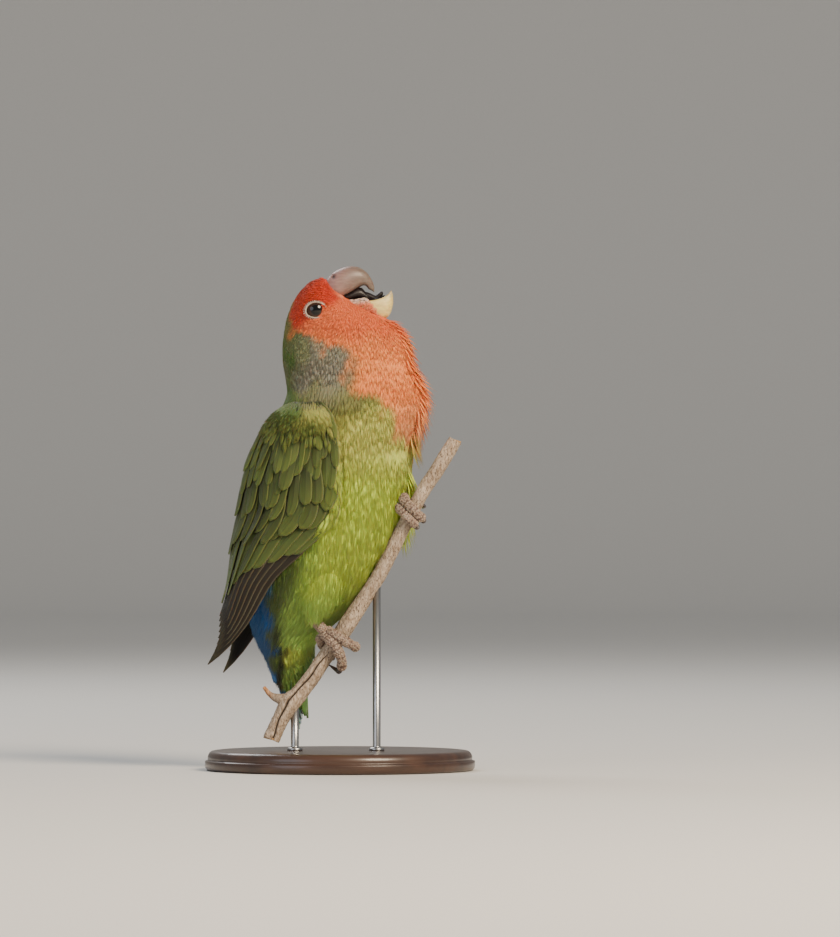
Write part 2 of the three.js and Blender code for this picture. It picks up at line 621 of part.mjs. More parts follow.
/** The claw of one toe, which goes on round the twig and down to the bark. */
function claw(name, toe) {
  const points = spaced(0, 1, 4).map((s) => {
    const out = mix(GAP + toe.radius + toe.off - 0.1, CLAW.off, s ** 1.5);
    return toePoint(name, toe, 1 + (CLAW.apart + s * CLAW.arc) / toe.reach, out);
  });
  return tube(points, points.map((_, i) => mix(CLAW.radius, 0.16, (i / 3) ** 1.3)), 6);
}

/** The bare shank from ankle to sole. */
function shank(name, grow = 0) {
  const { ankle, sole } = FEET[name];
  const end = onTwig(name, 0, sole, GAP + SOLE_RADIUS).point;
  const start = new THREE.Vector3(...ankle);
  const line = end.clone().sub(start);
  const stop = start.clone().addScaledVector(line, 1 - (SOLE_RADIUS + 5 * GAP) / line.length());
  const root = start.clone().addScaledVector(line, -2.4 / line.length());
  const points = [root, start.clone().lerp(stop, 0.5), stop];
  return tube(points, [1, 0.92, 1].map((share) => share * SHANK_RADIUS), 10, grow);
}

/** The room that the left foot keeps free of the belly round the twig. */
function gripRoom() {
  const points = spaced(-8.5, 5.5, 4).map((drift) => onTwig("left", drift, 0, 0));
  const middles = points.map(({ point }) => twigFrame(point.z).point);
  return tube(middles, [6.4, 8, 8, 6.4], 14);
}

/** The feathered right thigh, or the room for it. */
function thigh(grow = 0) {
  const [low, high] = [FEET.right.ankle, THIGH.knee].map((point) => new THREE.Vector3(...point));
  const top = high.clone().addScaledVector(high.clone().sub(low), 0.22);
  const points = [low, low.clone().lerp(high, 0.3), low.clone().lerp(high, 0.68), high, top];
  const { low: cuff, hip } = THIGH;
  const radii = [cuff, hip * 0.6, hip * 0.92, hip * 0.86, hip * 0.4];
  const made = tube(points, radii, 16, grow);
  return grow ? made : largest(made.subtract(shank("right", GAP)).subtract(wingRoom(-1)));
}

// Twig and stand

/** The twig with its spur, or the room for it. */
function twig(grow = 0) {
  const points = TWIG.map(({ at }) => new THREE.Vector3(at[0], TWIG_Y, at[1]));
  const stem = tube(points, TWIG.map(({ radius }) => radius), TWIG_SIDES, grow);
  const spur = [SPUR.root, SPUR.bend, SPUR.tip].map(([x, z]) => new THREE.Vector3(x, TWIG_Y, z));
  return stem.add(tube(spur, [SPUR.radius * 1.5, SPUR.radius * 0.62, 0.5], 8, grow));
}

/** The round base with bevelled edges. */
function base() {
  const { radius, thick, bevel, sides } = BASE;
  const lower = [[0, 0], [radius - bevel, 0], [radius, bevel]];
  const upper = lower.map(([r, h]) => [r, thick - h]).reverse();
  const lathe = new THREE.LatheGeometry([...lower, ...upper].map(([r, h]) => new THREE.Vector2(r, h)), sides);
  return solid(lathe.rotateX(Math.PI / 2));
}

/** A rod from the base up to the twig. */
function rod({ x, radius }) {
  const stations = TWIG.map(({ at }) => ({ x: at[0], z: at[1] }));
  const top = along(stations, (s) => s.z, "x", x);
  const bottom = BASE.thick + GAP;
  const pin = new THREE.CylinderGeometry(radius, radius, top - bottom, 20).rotateX(Math.PI / 2);
  return largest(solid(pin.translate(x, TWIG_Y, (top + bottom) / 2)).subtract(twig(GAP)));
}

// The whole model

const lovebird = new THREE.Group();

/** Adds a solid as a named mesh. */
function add(name, one, colour, roughness = 0.8, metalness = 0) {
  const { numProp, vertProperties, triVerts, numVert } = one.getMesh();
  const position = new Float32Array(numVert * 3);
  for (let i = 0; i < numVert; i++) {
    position.set(vertProperties.subarray(i * numProp, i * numProp + 3), i * 3);
  }
  const geometry = new THREE.BufferGeometry();
  geometry.setAttribute("position", new THREE.BufferAttribute(position, 3)).setIndex([...triVerts]);
  geometry.computeVertexNormals();
  const material = new THREE.MeshStandardMaterial({ color: COLOURS[colour], roughness, metalness });
  const mesh = new THREE.Mesh(geometry, material);
  mesh.name = name;
  lovebird.add(mesh);
}

add("head", head(), "salmon");
add("neck", coat(SHOULDER_Z + GAP, THROAT_Z, 5), "salmon");
add("torso", torso(), "green");
add("bill_upper", upperBill(), "mauve", 0.4);
add("bill_lower", lowerBill(), "horn", 0.4);
add("tongue", tongue(), "black", 0.5);
add("tail", tail(), "blue");
add("thigh_right", thigh(), "green");
for (const [name, side] of [["right", -1], ["left", 1]]) {
  add(`eye_${name}`, eyeball(side), "black", 0.1);
  add(`wing_${name}`, wing(side), "olive");
  add(`shank_${name}`, shank(name), "skin");
  add(`foot_${name}`, foot(name), "skin");
  FEET[name].toes.forEach((toe, i) => add(`claw_${name}_${i + 1}`, claw(name, toe), "black", 0.4));
}
add("perch", twig(), "wood");
add("stand_base", base(), "base", 0.5);
add("stand_rod_lower", rod(RODS.lower), "steel", 0.3, 1);
add("stand_rod_upper", rod(RODS.upper), "steel", 0.3, 1);

export default lovebird;
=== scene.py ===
import json
import logging
import math
from collections.abc import Iterator, Sequence
from dataclasses import dataclass
from enum import Enum
from functools import partial
from typing import Any

import bmesh
import bpy
import numpy as np
from bpy.types import Collection, Material, Node, NodeSocket, NodeTree, Object
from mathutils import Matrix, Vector, noise
from mathutils.bvhtree import BVHTree

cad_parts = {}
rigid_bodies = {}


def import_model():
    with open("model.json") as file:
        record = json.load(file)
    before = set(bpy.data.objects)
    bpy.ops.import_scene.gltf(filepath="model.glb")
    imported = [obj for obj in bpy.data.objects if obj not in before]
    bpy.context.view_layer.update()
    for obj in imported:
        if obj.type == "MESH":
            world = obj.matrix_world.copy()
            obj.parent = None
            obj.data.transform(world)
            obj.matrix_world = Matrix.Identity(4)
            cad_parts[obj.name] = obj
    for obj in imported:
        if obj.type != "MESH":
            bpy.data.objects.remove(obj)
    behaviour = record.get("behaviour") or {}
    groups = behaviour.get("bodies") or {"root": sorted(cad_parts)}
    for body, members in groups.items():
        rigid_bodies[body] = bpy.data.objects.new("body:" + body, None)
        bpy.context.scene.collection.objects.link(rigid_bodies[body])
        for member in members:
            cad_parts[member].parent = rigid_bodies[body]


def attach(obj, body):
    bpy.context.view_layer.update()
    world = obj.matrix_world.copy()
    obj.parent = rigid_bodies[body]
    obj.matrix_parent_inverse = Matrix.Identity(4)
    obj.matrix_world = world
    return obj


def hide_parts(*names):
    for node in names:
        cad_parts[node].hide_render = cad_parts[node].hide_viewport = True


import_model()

LOG = logging.getLogger("lovebird")
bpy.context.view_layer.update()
MM = 0.001
BIRD_Y = 7.0
TWIG_Y = -5.0
Array = np.ndarray
Faces = list[tuple[int, ...]]
Rows = tuple[tuple[float, ...], ...]
Pair = tuple[float, float]
Vane = dict[str, Any]


class Side(Enum):
    """A side of the bird, with its sign across the middle plane."""

    RIGHT = -1
    LEFT = 1

    @property
    def word(self) -> str:
        """The side's name in lower case."""
        return self.name.lower()


# Numbers and curves


def mix(low: Any, high: Any, share: Any) -> Any:
    """The value at a share of the way from low to high."""
    return low + (high - low) * share


def smooth(low: float, high: float, value: Array) -> Array:
    """A soft step from 0 at low to 1 at high."""
    t = np.clip((np.asarray(value, float) - low) / (high - low), 0, 1)
    return t * t * (3 - 2 * t)


def unit(vectors: Array) -> Array:
    """Vectors at length one."""
    return vectors / np.maximum(np.linalg.norm(vectors, axis=-1, keepdims=True), 1e-9)


def curve(spots: Sequence[float], values: Any, at: Any) -> Array:
    """Values of a table on a smooth curve through its stations.

    Args:
        spots: The places of the stations, rising.
        values: One value or one row of values for each station.
        at: Where the curve is read, held to the table's ends.

    Returns:
        One value or row for each place in at.
    """
    s = np.asarray(spots, float)
    v = np.asarray(values, float).reshape(len(s), -1)
    t = np.clip(np.asarray(at, float).ravel(), s[0], s[-1])
    i = np.clip(np.searchsorted(s, t, side="right") - 1, 0, len(s) - 2)
    last = len(s) - 1
    high, low = np.minimum(np.arange(len(s)) + 1, last), np.maximum(np.arange(len(s)) - 1, 0)
    slope = (v[high] - v[low]) / (s[high] - s[low])[:, None]
    width = (s[i + 1] - s[i])[:, None]
    u = ((t - s[i]) / width[:, 0])[:, None]
    made = v[i] * (1 + 2 * u) * (1 - u) ** 2 + v[i + 1] * u * u * (3 - 2 * u)
    made += width * (slope[i] * u * (1 - u) ** 2 - slope[i + 1] * u * u * (1 - u))
    shape = np.shape(at) + (() if np.ndim(values) == 1 else (v.shape[1],))
    return made.reshape(shape)


def ripple(points: Array, size: float, seed: float = 0.0) -> Array:
    """A soft uneven field between about -1 and 1.

    Args:
        points: Points in millimetres.
        size: Rough width of one patch.
        seed: Shifts the field.

    Returns:
        One value for each point.
    """
    p = np.asarray(points, float) / size
    total = np.zeros(p.shape[:-1])
    for k, (a, b, c) in enumerate([(1.7, 0.6, 1.1), (-0.9, 1.5, 0.8), (0.7, -1.1, 1.9), (2.3, 1.9, -1.4)]):
        total += np.sin(p[..., 0] * a + p[..., 1] * b + p[..., 2] * c + seed * (1.3 + k) + 2.1 * k)
    return total / 3


def circle(count: int) -> Array:
    """Even angles round a circle."""
    return np.arange(count) * 2 * math.pi / count


def turned(vector: Array, axis: Array, angle: Array) -> Array:
    """A vector turned about an axis by an angle in radians."""
    c, s = np.cos(angle)[..., None], np.sin(angle)[..., None]
    dot = np.sum(vector * axis, axis=-1, keepdims=True)
    return vector * c + np.cross(axis, vector) * s + axis * dot * (1 - c)


# Meshes


def linear(code: str) -> Array:
    """The linear colour of an sRGB hex code, with full alpha."""
    part = np.array([int(code[i : i + 2], 16) / 255 for i in (1, 3, 5)])
    return np.append(np.where(part <= 0.04045, part / 12.92, ((part + 0.055) / 1.055) ** 2.4), 1.0)


def wash(tint: Array, code: str, amount: Array) -> Array:
    """Tints with a colour laid over them, by an amount for each point."""
    return mix(tint, linear(code), np.asarray(amount)[..., None])


def make_piece(
    name: str, points: Array, faces: Sequence[Sequence[int]], attributes: dict[str, Array] | None = None
) -> Object:
    """A smooth mesh object at the origin.

    Args:
        name: The piece's name.
        points: Its points in millimetres.
        faces: Point numbers of each face.
        attributes: One value for all points or one for each, by name: numbers, vectors or colours.

    Returns:
        The object, linked to the scene.
    """
    mesh = bpy.data.meshes.new(name)
    mesh.from_pydata((np.asarray(points) * MM).tolist(), [], [list(map(int, f)) for f in faces])
    for key, values in (attributes or {}).items():
        values = np.asarray(values, np.float32)
        values = values if values.ndim else np.full(len(points), values)
        width = 1 if values.ndim == 1 else values.shape[1]
        kinds = {1: ("FLOAT", "value"), 3: ("FLOAT_VECTOR", "vector"), 4: ("FLOAT_COLOR", "color")}
        kind, slot = kinds[width]
        mesh.attributes.new(key, kind, "POINT").data.foreach_set(slot, values.ravel())
    mesh.shade_smooth()
    made = bpy.data.objects.new(name, mesh)
    bpy.context.scene.collection.objects.link(made)
    return made


def grid_faces(rows: int, columns: int, closed: bool = True, start: int = 0) -> Faces:
    """Faces between rows of points.

    Args:
        rows: How many rows.
        columns: Points in each row.
        closed: Whether each row runs round to its first point.
        start: The first point's number.

    Returns:
        Four-sided faces.
    """
    made = []
    for r in range(rows - 1):
        for c in range(columns if closed else columns - 1):
            a, b = start + r * columns + c, start + r * columns + (c + 1) % columns
            made.append((a, b, b + columns, a + columns))
    return made


def closed_rings(rings: Array) -> tuple[Array, Faces]:
    """A closed skin through rings, with a fan to a middle point over each end.

    Args:
        rings: Rows of ring points.

    Returns:
        The points and the faces, which point outwards.
    """
    rows, columns = rings.shape[:2]
    points = rings.reshape(-1, 3)
    faces = grid_faces(rows, columns)
    ends = [(rings[0].mean(0), 0), (rings[-1].mean(0), (rows - 1) * columns)]
    for k, (middle, start) in enumerate(ends):
        points = np.vstack([points, middle])
        for c in range(columns):
            a, b = start + c, start + (c + 1) % columns
            faces.append((len(points) - 1, b, a) if k == 0 else (len(points) - 1, a, b))
    return points, faces_out(points, faces)


def faces_out(points: Array, faces: Faces) -> Faces:
    """The faces, turned round if the closed shape that they make is inside out."""
    p = np.asarray(points)
    tris = np.array([(f[0], f[i], f[i + 1]) for f in faces for i in range(1, len(f) - 1)])
    a, b, c = p[tris[:, 0]], p[tris[:, 1]], p[tris[:, 2]]
    middle = p.mean(0)
    volume = np.sum(np.cross(a - middle, b - middle) * (c - middle))
    return faces if volume > 0 else [tuple(reversed(f)) for f in faces]


def tube_rings(path: Array, radii: Array, sides: int, flat: float = 1.0) -> Array:
    """Rings of points round a path.

    Args:
        path: Points of the path.
        radii: A radius for each point, or for each point and side.
        sides: Points in each ring.
        flat: Height of a ring as a share of its width.

    Returns:
        Rows of ring points.
    """
    tangents = unit(np.gradient(path, axis=0))
    across = np.array([0.0, 1.0, 0.0])
    angles = circle(sides)
    radii = np.asarray(radii, float)
    rings = []
    for i, (spot, tangent) in enumerate(zip(path, tangents)):
        across = unit(across - tangent * (across @ tangent))
        up = np.cross(tangent, across)
        reach = radii[i] if radii.ndim > 1 else np.full(sides, radii[i])
        ring = np.outer(np.cos(angles) * reach, across) + np.outer(np.sin(angles) * reach * flat, up)
        rings.append(spot + ring)
    return np.array(rings)


def rounded(path: Array, radii: Array, count: int, end: float = 1.0) -> tuple[Array, Array]:
    """A path read finely, with round ends.

    Args:
        path: Stations of the path.
        radii: A radius for each station.
        count: How many points to read.
        end: Length of each round end as a share of its radius.

    Returns:
        The fine path and its radii.
    """
    share = np.linspace(0, 1, len(path))
    length = np.concatenate([[0], np.cumsum(np.linalg.norm(np.diff(path, axis=0), axis=1))])
    at = 0.5 - 0.5 * np.cos(np.linspace(0.02, 1, count) * math.pi * 0.999)
    at = mix(at, np.linspace(0, 1, count), 0.5)
    fine, radius = curve(share, path, at), curve(share, radii, at)
    run = np.interp(at, share, length)
    for near, size in ((run, radii[0]), (length[-1] - run, radii[-1])):
        t = np.clip(near / max(size * end, 1e-6), 0, 1)
        radius = radius * np.sqrt(np.clip(1 - (1 - t) ** 2, 0.004, 1))
    return fine, radius


def along(way: Array, out: Array) -> Array:
    """A direction laid flat on a surface with outward directions out."""
    return unit(way - out * np.sum(way * out, axis=-1, keepdims=True))


def plume_marks(
    tint: Array, out: Array, lie: Array, thick: Array, size: Any, broad: Any, spot: tuple[Array, Array],
    loose: Any = 0.0
) -> dict[str, Array]:
    """The attributes that plumes read from the form that they grow on.

    Args:
        tint: Their colours.
        out: Outward directions of the form.
        lie: Directions in which they lie.
        thick: How densely they stand, from 0 to 1.
        size: Their length as a share of the piece's own.
        broad: Their width as a share of the piece's own.
        spot: Their place on the bake map.
        loose: Radians that they are raised by.

    Returns:
        The attributes by name.
    """
    place = np.stack([*spot, 0 * spot[0]], -1)
    return {
        "tint": tint, "out": out, "lie": lie, "thick": thick, "size": size, "broad": broad, "loose": loose,
        "spot": place
    }


# Node trees


def add_node(
    tree: NodeTree, kind: str, settings: dict[str, Any] | str = "", links: dict[Any, Any] | None = None
) -> Node:
    """Adds one node to a tree.

    Args:
        tree: The tree to add to.
        kind: The node's type, without its first words for a shader node.
        settings: Properties of the node by name, or its operation alone.
        links: Inputs by name or number, each given a value, an output, or a node (its first working output).

    Returns:
        The new node.
    """
    made = tree.nodes.new(kind if "Node" in kind else f"ShaderNode{kind}")
    if isinstance(settings, str):
        settings = {"operation": settings} if settings else {}
    for key, value in settings.items():
        setattr(made, key, value)
    for key, value in (links or {}).items():
        if isinstance(value, Node):
            value = next(end for end in value.outputs if end.enabled)
        if isinstance(value, NodeSocket):
            tree.links.new(value, made.inputs[key])
        else:
            made.inputs[key].default_value = value
    return made


def new_material(name: str) -> tuple[Material, NodeTree]:
    """An empty material and its node tree."""
    made = bpy.data.materials.new(name)
    made.use_nodes = True
    made.node_tree.nodes.clear()
    return made, made.node_tree


def apply_tree(source: Object, tree: NodeTree, values: dict[str, Any], name: str) -> Object:
    """Runs a node tree on a mesh and keeps the result as a plain mesh.

    Args:
        source: The mesh that the tree reads, removed afterwards.
        tree: The node tree.
        values: The tree's inputs by name.
        name: Name of the new piece.

    Returns:
        The plain piece.
    """
    modifier = source.modifiers.new("rule", "NODES")
    modifier.node_group = tree
    sockets = {s.name: s.identifier for s in tree.interface.items_tree if s.item_type == "SOCKET"}
    for key, value in values.items():
        modifier[sockets[key]] = value
    graph = bpy.context.evaluated_depsgraph_get()
    mesh = bpy.data.meshes.new_from_object(
        source.evaluated_get(graph), preserve_all_data_layers=True, depsgraph=graph
    )
    mesh.name = name
    made = bpy.data.objects.new(name, mesh)
    bpy.context.scene.collection.objects.link(made)
    source.modifiers.remove(modifier)
    bpy.data.objects.remove(source, do_unlink=True)
    return made


def new_tree(name: str, inputs: Sequence[tuple[str, str, Any]]) -> tuple[NodeTree, Node]:
    """A geometry tree with named inputs.

    Args:
        name: The tree's name.
        inputs: Name, socket type and starting value of each input after the geometry.

    Returns:
        The tree and its input node.
    """
    tree = bpy.data.node_groups.new(name, "GeometryNodeTree")
    tree.interface.new_socket("Geometry", in_out="INPUT", socket_type="NodeSocketGeometry")
    for label, kind, start in inputs:
        socket = tree.interface.new_socket(label, in_out="INPUT", socket_type=f"NodeSocket{kind}")
        if start is not None:
            socket.default_value = start
    tree.interface.new_socket("Geometry", in_out="OUTPUT", socket_type="NodeSocketGeometry")
    return tree, tree.nodes.new("NodeGroupInput")


def end_tree(tree: NodeTree, geometry: Node, finish: NodeSocket) -> NodeTree:
    """Ends a tree in Realize Instances and Set Material.

    Args:
        tree: The tree to end.
        geometry: The node that gives the shape.
        finish: The output that holds the material.

    Returns:
        The same tree.
    """
    node = partial(add_node, tree)
    real = node("GeometryNodeRealizeInstances", links={0: geometry})
    dressed = node("GeometryNodeSetMaterial", links={"Geometry": real, "Material": finish})
    node("NodeGroupOutput", links={0: dressed})
    return tree


def dress(piece: Object, material: Material, slot: str, *nodes: str) -> Object:
    """Gives a piece its material and its body, and hides the CAD nodes that it stands for.

    Args:
        piece: The piece.
        material: Its material.
        slot: The record's material slot; not used.
        nodes: CAD nodes that the piece replaces.

    Returns:
        The same piece.
    """
    piece.data.materials.clear()
    piece.data.materials.append(material)
    piece.data.shade_smooth()
    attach(piece, "root")
    if nodes:
        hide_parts(*nodes)
    return piece


# Finishes


@dataclass(frozen=True)
class Plumage:
    """Feather keratin: matt, with fine barbs and a soft sheen at grazing angles, darker down at each root."""

    name: str
    roughness: float = 0.72
    sheen: float = 0.1
    down: float = 0.06
    streak: float = 0.08
    barb: float = 0.15
    soft: float = 0.25
    barbs: float = 26.0
    edge: float = 0.0
    edge_colour: str = "#b9c070"
    shaft: float = 0.0

    def build(self) -> Material:
        """The material, which reads the tint and the place on the vane from the mesh.

        Returns:
            The material.
        """
        material, tree = new_material(self.name)
        node = partial(add_node, tree)
        tint = node("Attribute", {"attribute_name": "tint"})
        vane = node("Attribute", {"attribute_name": "vane"})
        chance = node("Attribute", {"attribute_name": "chance"}).outputs["Fac"]
        part = node("SeparateXYZ", links={0: vane.outputs["Vector"]})
        reach, share = part.outputs[0], part.outputs[1]
        width = node("Math", "ABSOLUTE", {0: reach})
        # Down shows at the root of each feather, so its lower half is darker.
        root = node("MapRange", links={0: share, 1: 0.15, 2: 0.75, 3: 1 - self.down, 4: 1.03})
        # Streaks run along the feather, about four across each one.
        lane = node("Math", "MULTIPLY", {0: reach, 1: 2.4})
        own = node("Math", "MULTIPLY", {0: chance, 1: 91.0})
        spot = node("CombineXYZ", links={0: lane, 1: share, 2: own})
        grain = node("TexNoise", links={"Vector": spot, "Scale": 1.6, "Detail": 3.0})
        low, high = 1 - self.streak, 1 + self.streak
        light = node("MapRange", links={0: grain, 1: 0.3, 2: 0.7, 3: low, 4: high})
        each = node("MapRange", links={0: chance, 3: 0.97, 4: 1.03})
        for factor in (root, each):
            light = node("Math", "MULTIPLY", {0: factor, 1: light})
        colour = node("VectorMath", "SCALE", {0: tint, "Scale": light})
        # Barbs leave the shaft forwards at about 40 degrees, drawn three times as coarse as the real ones.
        slant = node("Math", "MULTIPLY_ADD", {0: width, 1: -0.22, 2: share})
        turns = self.barbs * 2 * math.pi
        wave = node("Math", "MULTIPLY", {0: slant, 1: turns})
        barb = node("Math", "SINE", {0: wave})
        if self.edge > 0:
            tip = node("MapRange", links={0: share, 1: 0.9, 2: 1.0})
            rim = node("MapRange", links={0: width, 1: 0.72, 2: 0.95})
            both = node("Math", "MAXIMUM", {0: tip, 1: rim})
            both = node("Math", "MULTIPLY", {0: both, 1: self.edge})
            pale = {0: both, 6: colour, 7: linear(self.edge_colour)}
            colour = node("Mix", {"data_type": "RGBA"}, pale)
        if self.shaft > 0:
            line = node("MapRange", links={0: width, 1: 0.03, 2: 0.1, 3: self.shaft, 4: 0.0})
            colour = node("Mix", {"data_type": "RGBA"}, {0: line, 6: colour, 7: linear("#14120c")})
        height = node("Math", "MULTIPLY_ADD", {0: barb, 1: 0.5, 2: grain})
        bump = node("Bump", links={"Strength": self.barb, "Distance": 0.00012, "Height": height})
        inputs = {
            "Base Color": colour, "Normal": bump, "Roughness": self.roughness, "Specular IOR Level": 0.22,
            "Sheen Weight": self.sheen, "Sheen Roughness": 0.5, "Subsurface Weight": self.soft,
            "Subsurface Scale": 0.0006
        }
        shader = node("BsdfPrincipled", links=inputs)
        node("OutputMaterial", links={0: shader})
        return material


@dataclass(frozen=True)
class Mottled:
    """A surface of two colours in soft patches, with fine grain and its own gloss.

    It serves horn, bare skin, bark, wood and steel, each with the size of its patches in millimetres.
    """

    name: str
    colour: str
    second: str
    patch: float = 2.0
    grain: float = 0.3
    stretch: tuple[float, float, float] = (1.0, 1.0, 1.0)
    turn: float = 0.0
    roughness: float = 0.5
    metallic: float = 0.0
    bump: float = 0.2
    coat: float = 0.0
    specular: float = 0.5
    subsurface: float = 0.0
    tinted: bool = False
    speckle: str = ""

    def build(self) -> Material:
        """The material, whose patterns follow the object's own place.

        Returns:
            The material.
        """
        material, tree = new_material(self.name)
        node = partial(add_node, tree)
        place = node("TexCoord").outputs["Object"]
        turn = (0.0, self.turn, 0.0)
        lined = node("Mapping", links={"Vector": place, "Rotation": turn, "Scale": self.stretch})
        wide = node("TexNoise", links={"Vector": lined, "Scale": 1000 / self.patch, "Detail": 4.0})
        fine = node("TexNoise", links={"Vector": lined, "Scale": 1000 / self.grain})
        spread = node("MapRange", links={0: wide, 1: 0.32, 2: 0.68})
        colour = node(
            "Mix", {"data_type": "RGBA"}, {0: spread, 6: linear(self.colour), 7: linear(self.second)}
        )
        if self.tinted:
            tint = node("Attribute", {"attribute_name": "tint"})
            times = {"data_type": "RGBA", "blend_type": "MULTIPLY"}
            colour = node("Mix", times, {0: 1.0, 6: colour, 7: tint})
        if self.speckle:
            dots = node("TexNoise", links={"Vector": lined, "Scale": 2600 / self.patch, "Detail": 2.0})
            dots = node("MapRange", links={0: dots, 1: 0.57, 2: 0.64})
            colour = node("Mix", {"data_type": "RGBA"}, {0: dots, 6: colour, 7: linear(self.speckle)})
        low, high = max(0.02, self.roughness - 0.08), min(1.0, self.roughness + 0.08)
        rough = node("MapRange", links={0: fine, 3: low, 4: high})
        height = node("Math", "MULTIPLY_ADD", {0: wide, 1: 1.5, 2: fine})
        bump = node("Bump", links={"Strength": self.bump, "Distance": 0.0002, "Height": height})
        inputs = {
            "Base Color": colour, "Roughness": rough, "Normal": bump, "Metallic": self.metallic,
            "Specular IOR Level": self.specular, "Coat Weight": self.coat, "Coat Roughness": 0.12,
            "Subsurface Weight": self.subsurface, "Subsurface Scale": 0.001
        }
        shader = node("BsdfPrincipled", links=inputs)
        node("OutputMaterial", links={0: shader})
        return material


@dataclass(frozen=True)
class Glass:
    """A blown glass eye: dark brown iris round a black pupil, under a polished clear front."""

    name: str = "Glass eye"
    iris: str = "#2a170d"
    fleck: str = "#3a2114"
    pupil: str = "#050404"
    centre: Pair = (-8.9, 170.2)

    def build(self) -> Material:
        """The material, with its rings about the eye's own axis.

        Returns:
            The material.
        """
        material, tree = new_material(self.name)
        node = partial(add_node, tree)
        place = node("TexCoord").outputs["Object"]
        shift = (-self.centre[0] * MM, 0, -self.centre[1] * MM)
        flat = node(
            "Mapping", {"vector_type": "POINT"}, {"Vector": place, "Location": shift, "Scale": (1, 0, 1)}
        )
        away = node("VectorMath", "LENGTH", {0: flat})
        ring = node("MapRange", links={0: away, 1: 0.0017, 2: 0.0021})
        streaks = node("TexNoise", links={"Vector": flat, "Scale": 2500.0})
        brown = node("Mix", {"data_type": "RGBA"}, {0: streaks, 6: linear(self.iris), 7: linear(self.fleck)})
        colour = node("Mix", {"data_type": "RGBA"}, {0: ring, 6: linear(self.pupil), 7: brown})
        inputs = {
            "Base Color": colour, "Roughness": 0.04, "Coat Weight": 0.12, "Coat Roughness": 0.02,
            "Specular IOR Level": 0.4
        }
        shader = node("BsdfPrincipled", links=inputs)
        node("OutputMaterial", links={0: shader})
        return material


# Forms that the pieces share


@dataclass(frozen=True)
class Markings:
    """The colours of the plumage, which skin and coat share."""

    back: str = "#50642a"
    crown_back: str = "#5f6e2c"
    belly: str = "#cbdc4a"
    breast: str = "#bdb95a"
    flank: str = "#a2c04c"
    vent: str = "#a2c65c"
    ear: str = "#877e70"
    neck: str = "#73713e"
    cheek: str = "#ee6c3c"
    throat: str = "#ff8c4c"
    forehead: str = "#cd3516"
    lore: str = "#f2906a"
    rump: str = "#0a5698"

    def paint(self, points: Array) -> Array:
        """The colour at points of the plumage.

        Args:
            points: Points in millimetres.

        Returns:
            One linear colour for each point.
        """
        wobble = 2.4 * ripple(points, 4.0) + 1.4 * ripple(points, 1.9, 5)
        x, y, z = points[:, 0] + wobble, points[:, 1] - BIRD_Y, points[:, 2] + 0.8 * wobble
        made = np.tile(linear(self.back), (len(points), 1))

        def lay(code: str, amount: Array) -> None:
            """Lays a colour over what is there."""
            made[:] = mix(made, linear(code), np.clip(amount, 0, 1)[:, None])

        front = curve([40, 60, 80, 100, 118, 130, 137], [-20, -19, -14, -10, -9, -7, -8], np.clip(z, 40, 137))
        side = smooth(-5, 5, x - front)
        lay(self.flank, side)
        lay(self.belly, side * smooth(0, 12, x - front) * smooth(60, 78, z) * smooth(132, 112, z))
        # Painted light: a pale yellow patch on the vent by the tail root, the vent's own yellow-green made
        # brighter where light falls on it.
        lay("#cccb46", smooth(6, 2.5, np.hypot(x + 17, z - 47)))
        lay(self.vent, side * smooth(76, 62, z) * 0.5)
        lay(self.breast, side * smooth(103, 126, z) * smooth(143, 134, z))
        lay(self.rump, smooth(82, 72, z) * smooth(-23.5, -27, x))
        lay("#86a850", side * smooth(47, 40, z))
        lay("#273018", smooth(1.6, 0.6, abs(points[:, 0] + 22.6 - 0.1 * (z - 40))) * smooth(58, 52, z))
        lay(self.crown_back, smooth(136, 144, z) * smooth(-9, -15, x))
        lay("#4f6a26", smooth(136, 144, z) * smooth(-17, -20, x))
        lay(self.neck, smooth(131, 139, z) * smooth(162, 150, z) * smooth(-18, -10, x) * smooth(20, 8, x))
        ear = np.hypot((x + 5.5) / 12.5, (z - 153) / 12.5)
        lay(self.ear, 0.92 * smooth(1.35, 0.45, ear))
        lay("#7c8052", smooth(5, 2, np.hypot(x + 13, z - 156)) * 0.7)
        lay("#98954c", smooth(9, 4, np.hypot(x + 7, z - 131)) * 0.8)
        edge = np.interp(
            z, [119, 122, 127, 130, 137, 143.6, 150, 157, 159, 161, 163],
            [32, 30, 25, 22.5, 16, 6.3, 4.5, 2, -3, -9, -15]
        )
        mask = smooth(-4.6, 4.2, x - edge) * smooth(119, 123, z)
        lay(self.throat, mask)
        lay(self.cheek, mask * smooth(156, 163, z) * 0.6)
        lay("#ffb37e", mask * smooth(142, 128, z) * 0.6)
        cap = smooth(-17.2, -14.8, x) * smooth(161, 165, z + 0.6 * np.minimum(0, x + 13))
        lay(self.cheek, cap)
        lay(self.forehead, cap * smooth(-2.0, 2.0, (z - 171.5) - 0.55 * (x + 4)) * smooth(1.5, -2.5, x))
        lay(self.forehead, 0.5 * cap * smooth(-9.5, -13, x) * smooth(162, 168, z))
        lay(self.lore, 0.8 * smooth(2.6, 0.6, np.hypot(x - 1, z - 175)) * smooth(10, 7, abs(y)))
        return made


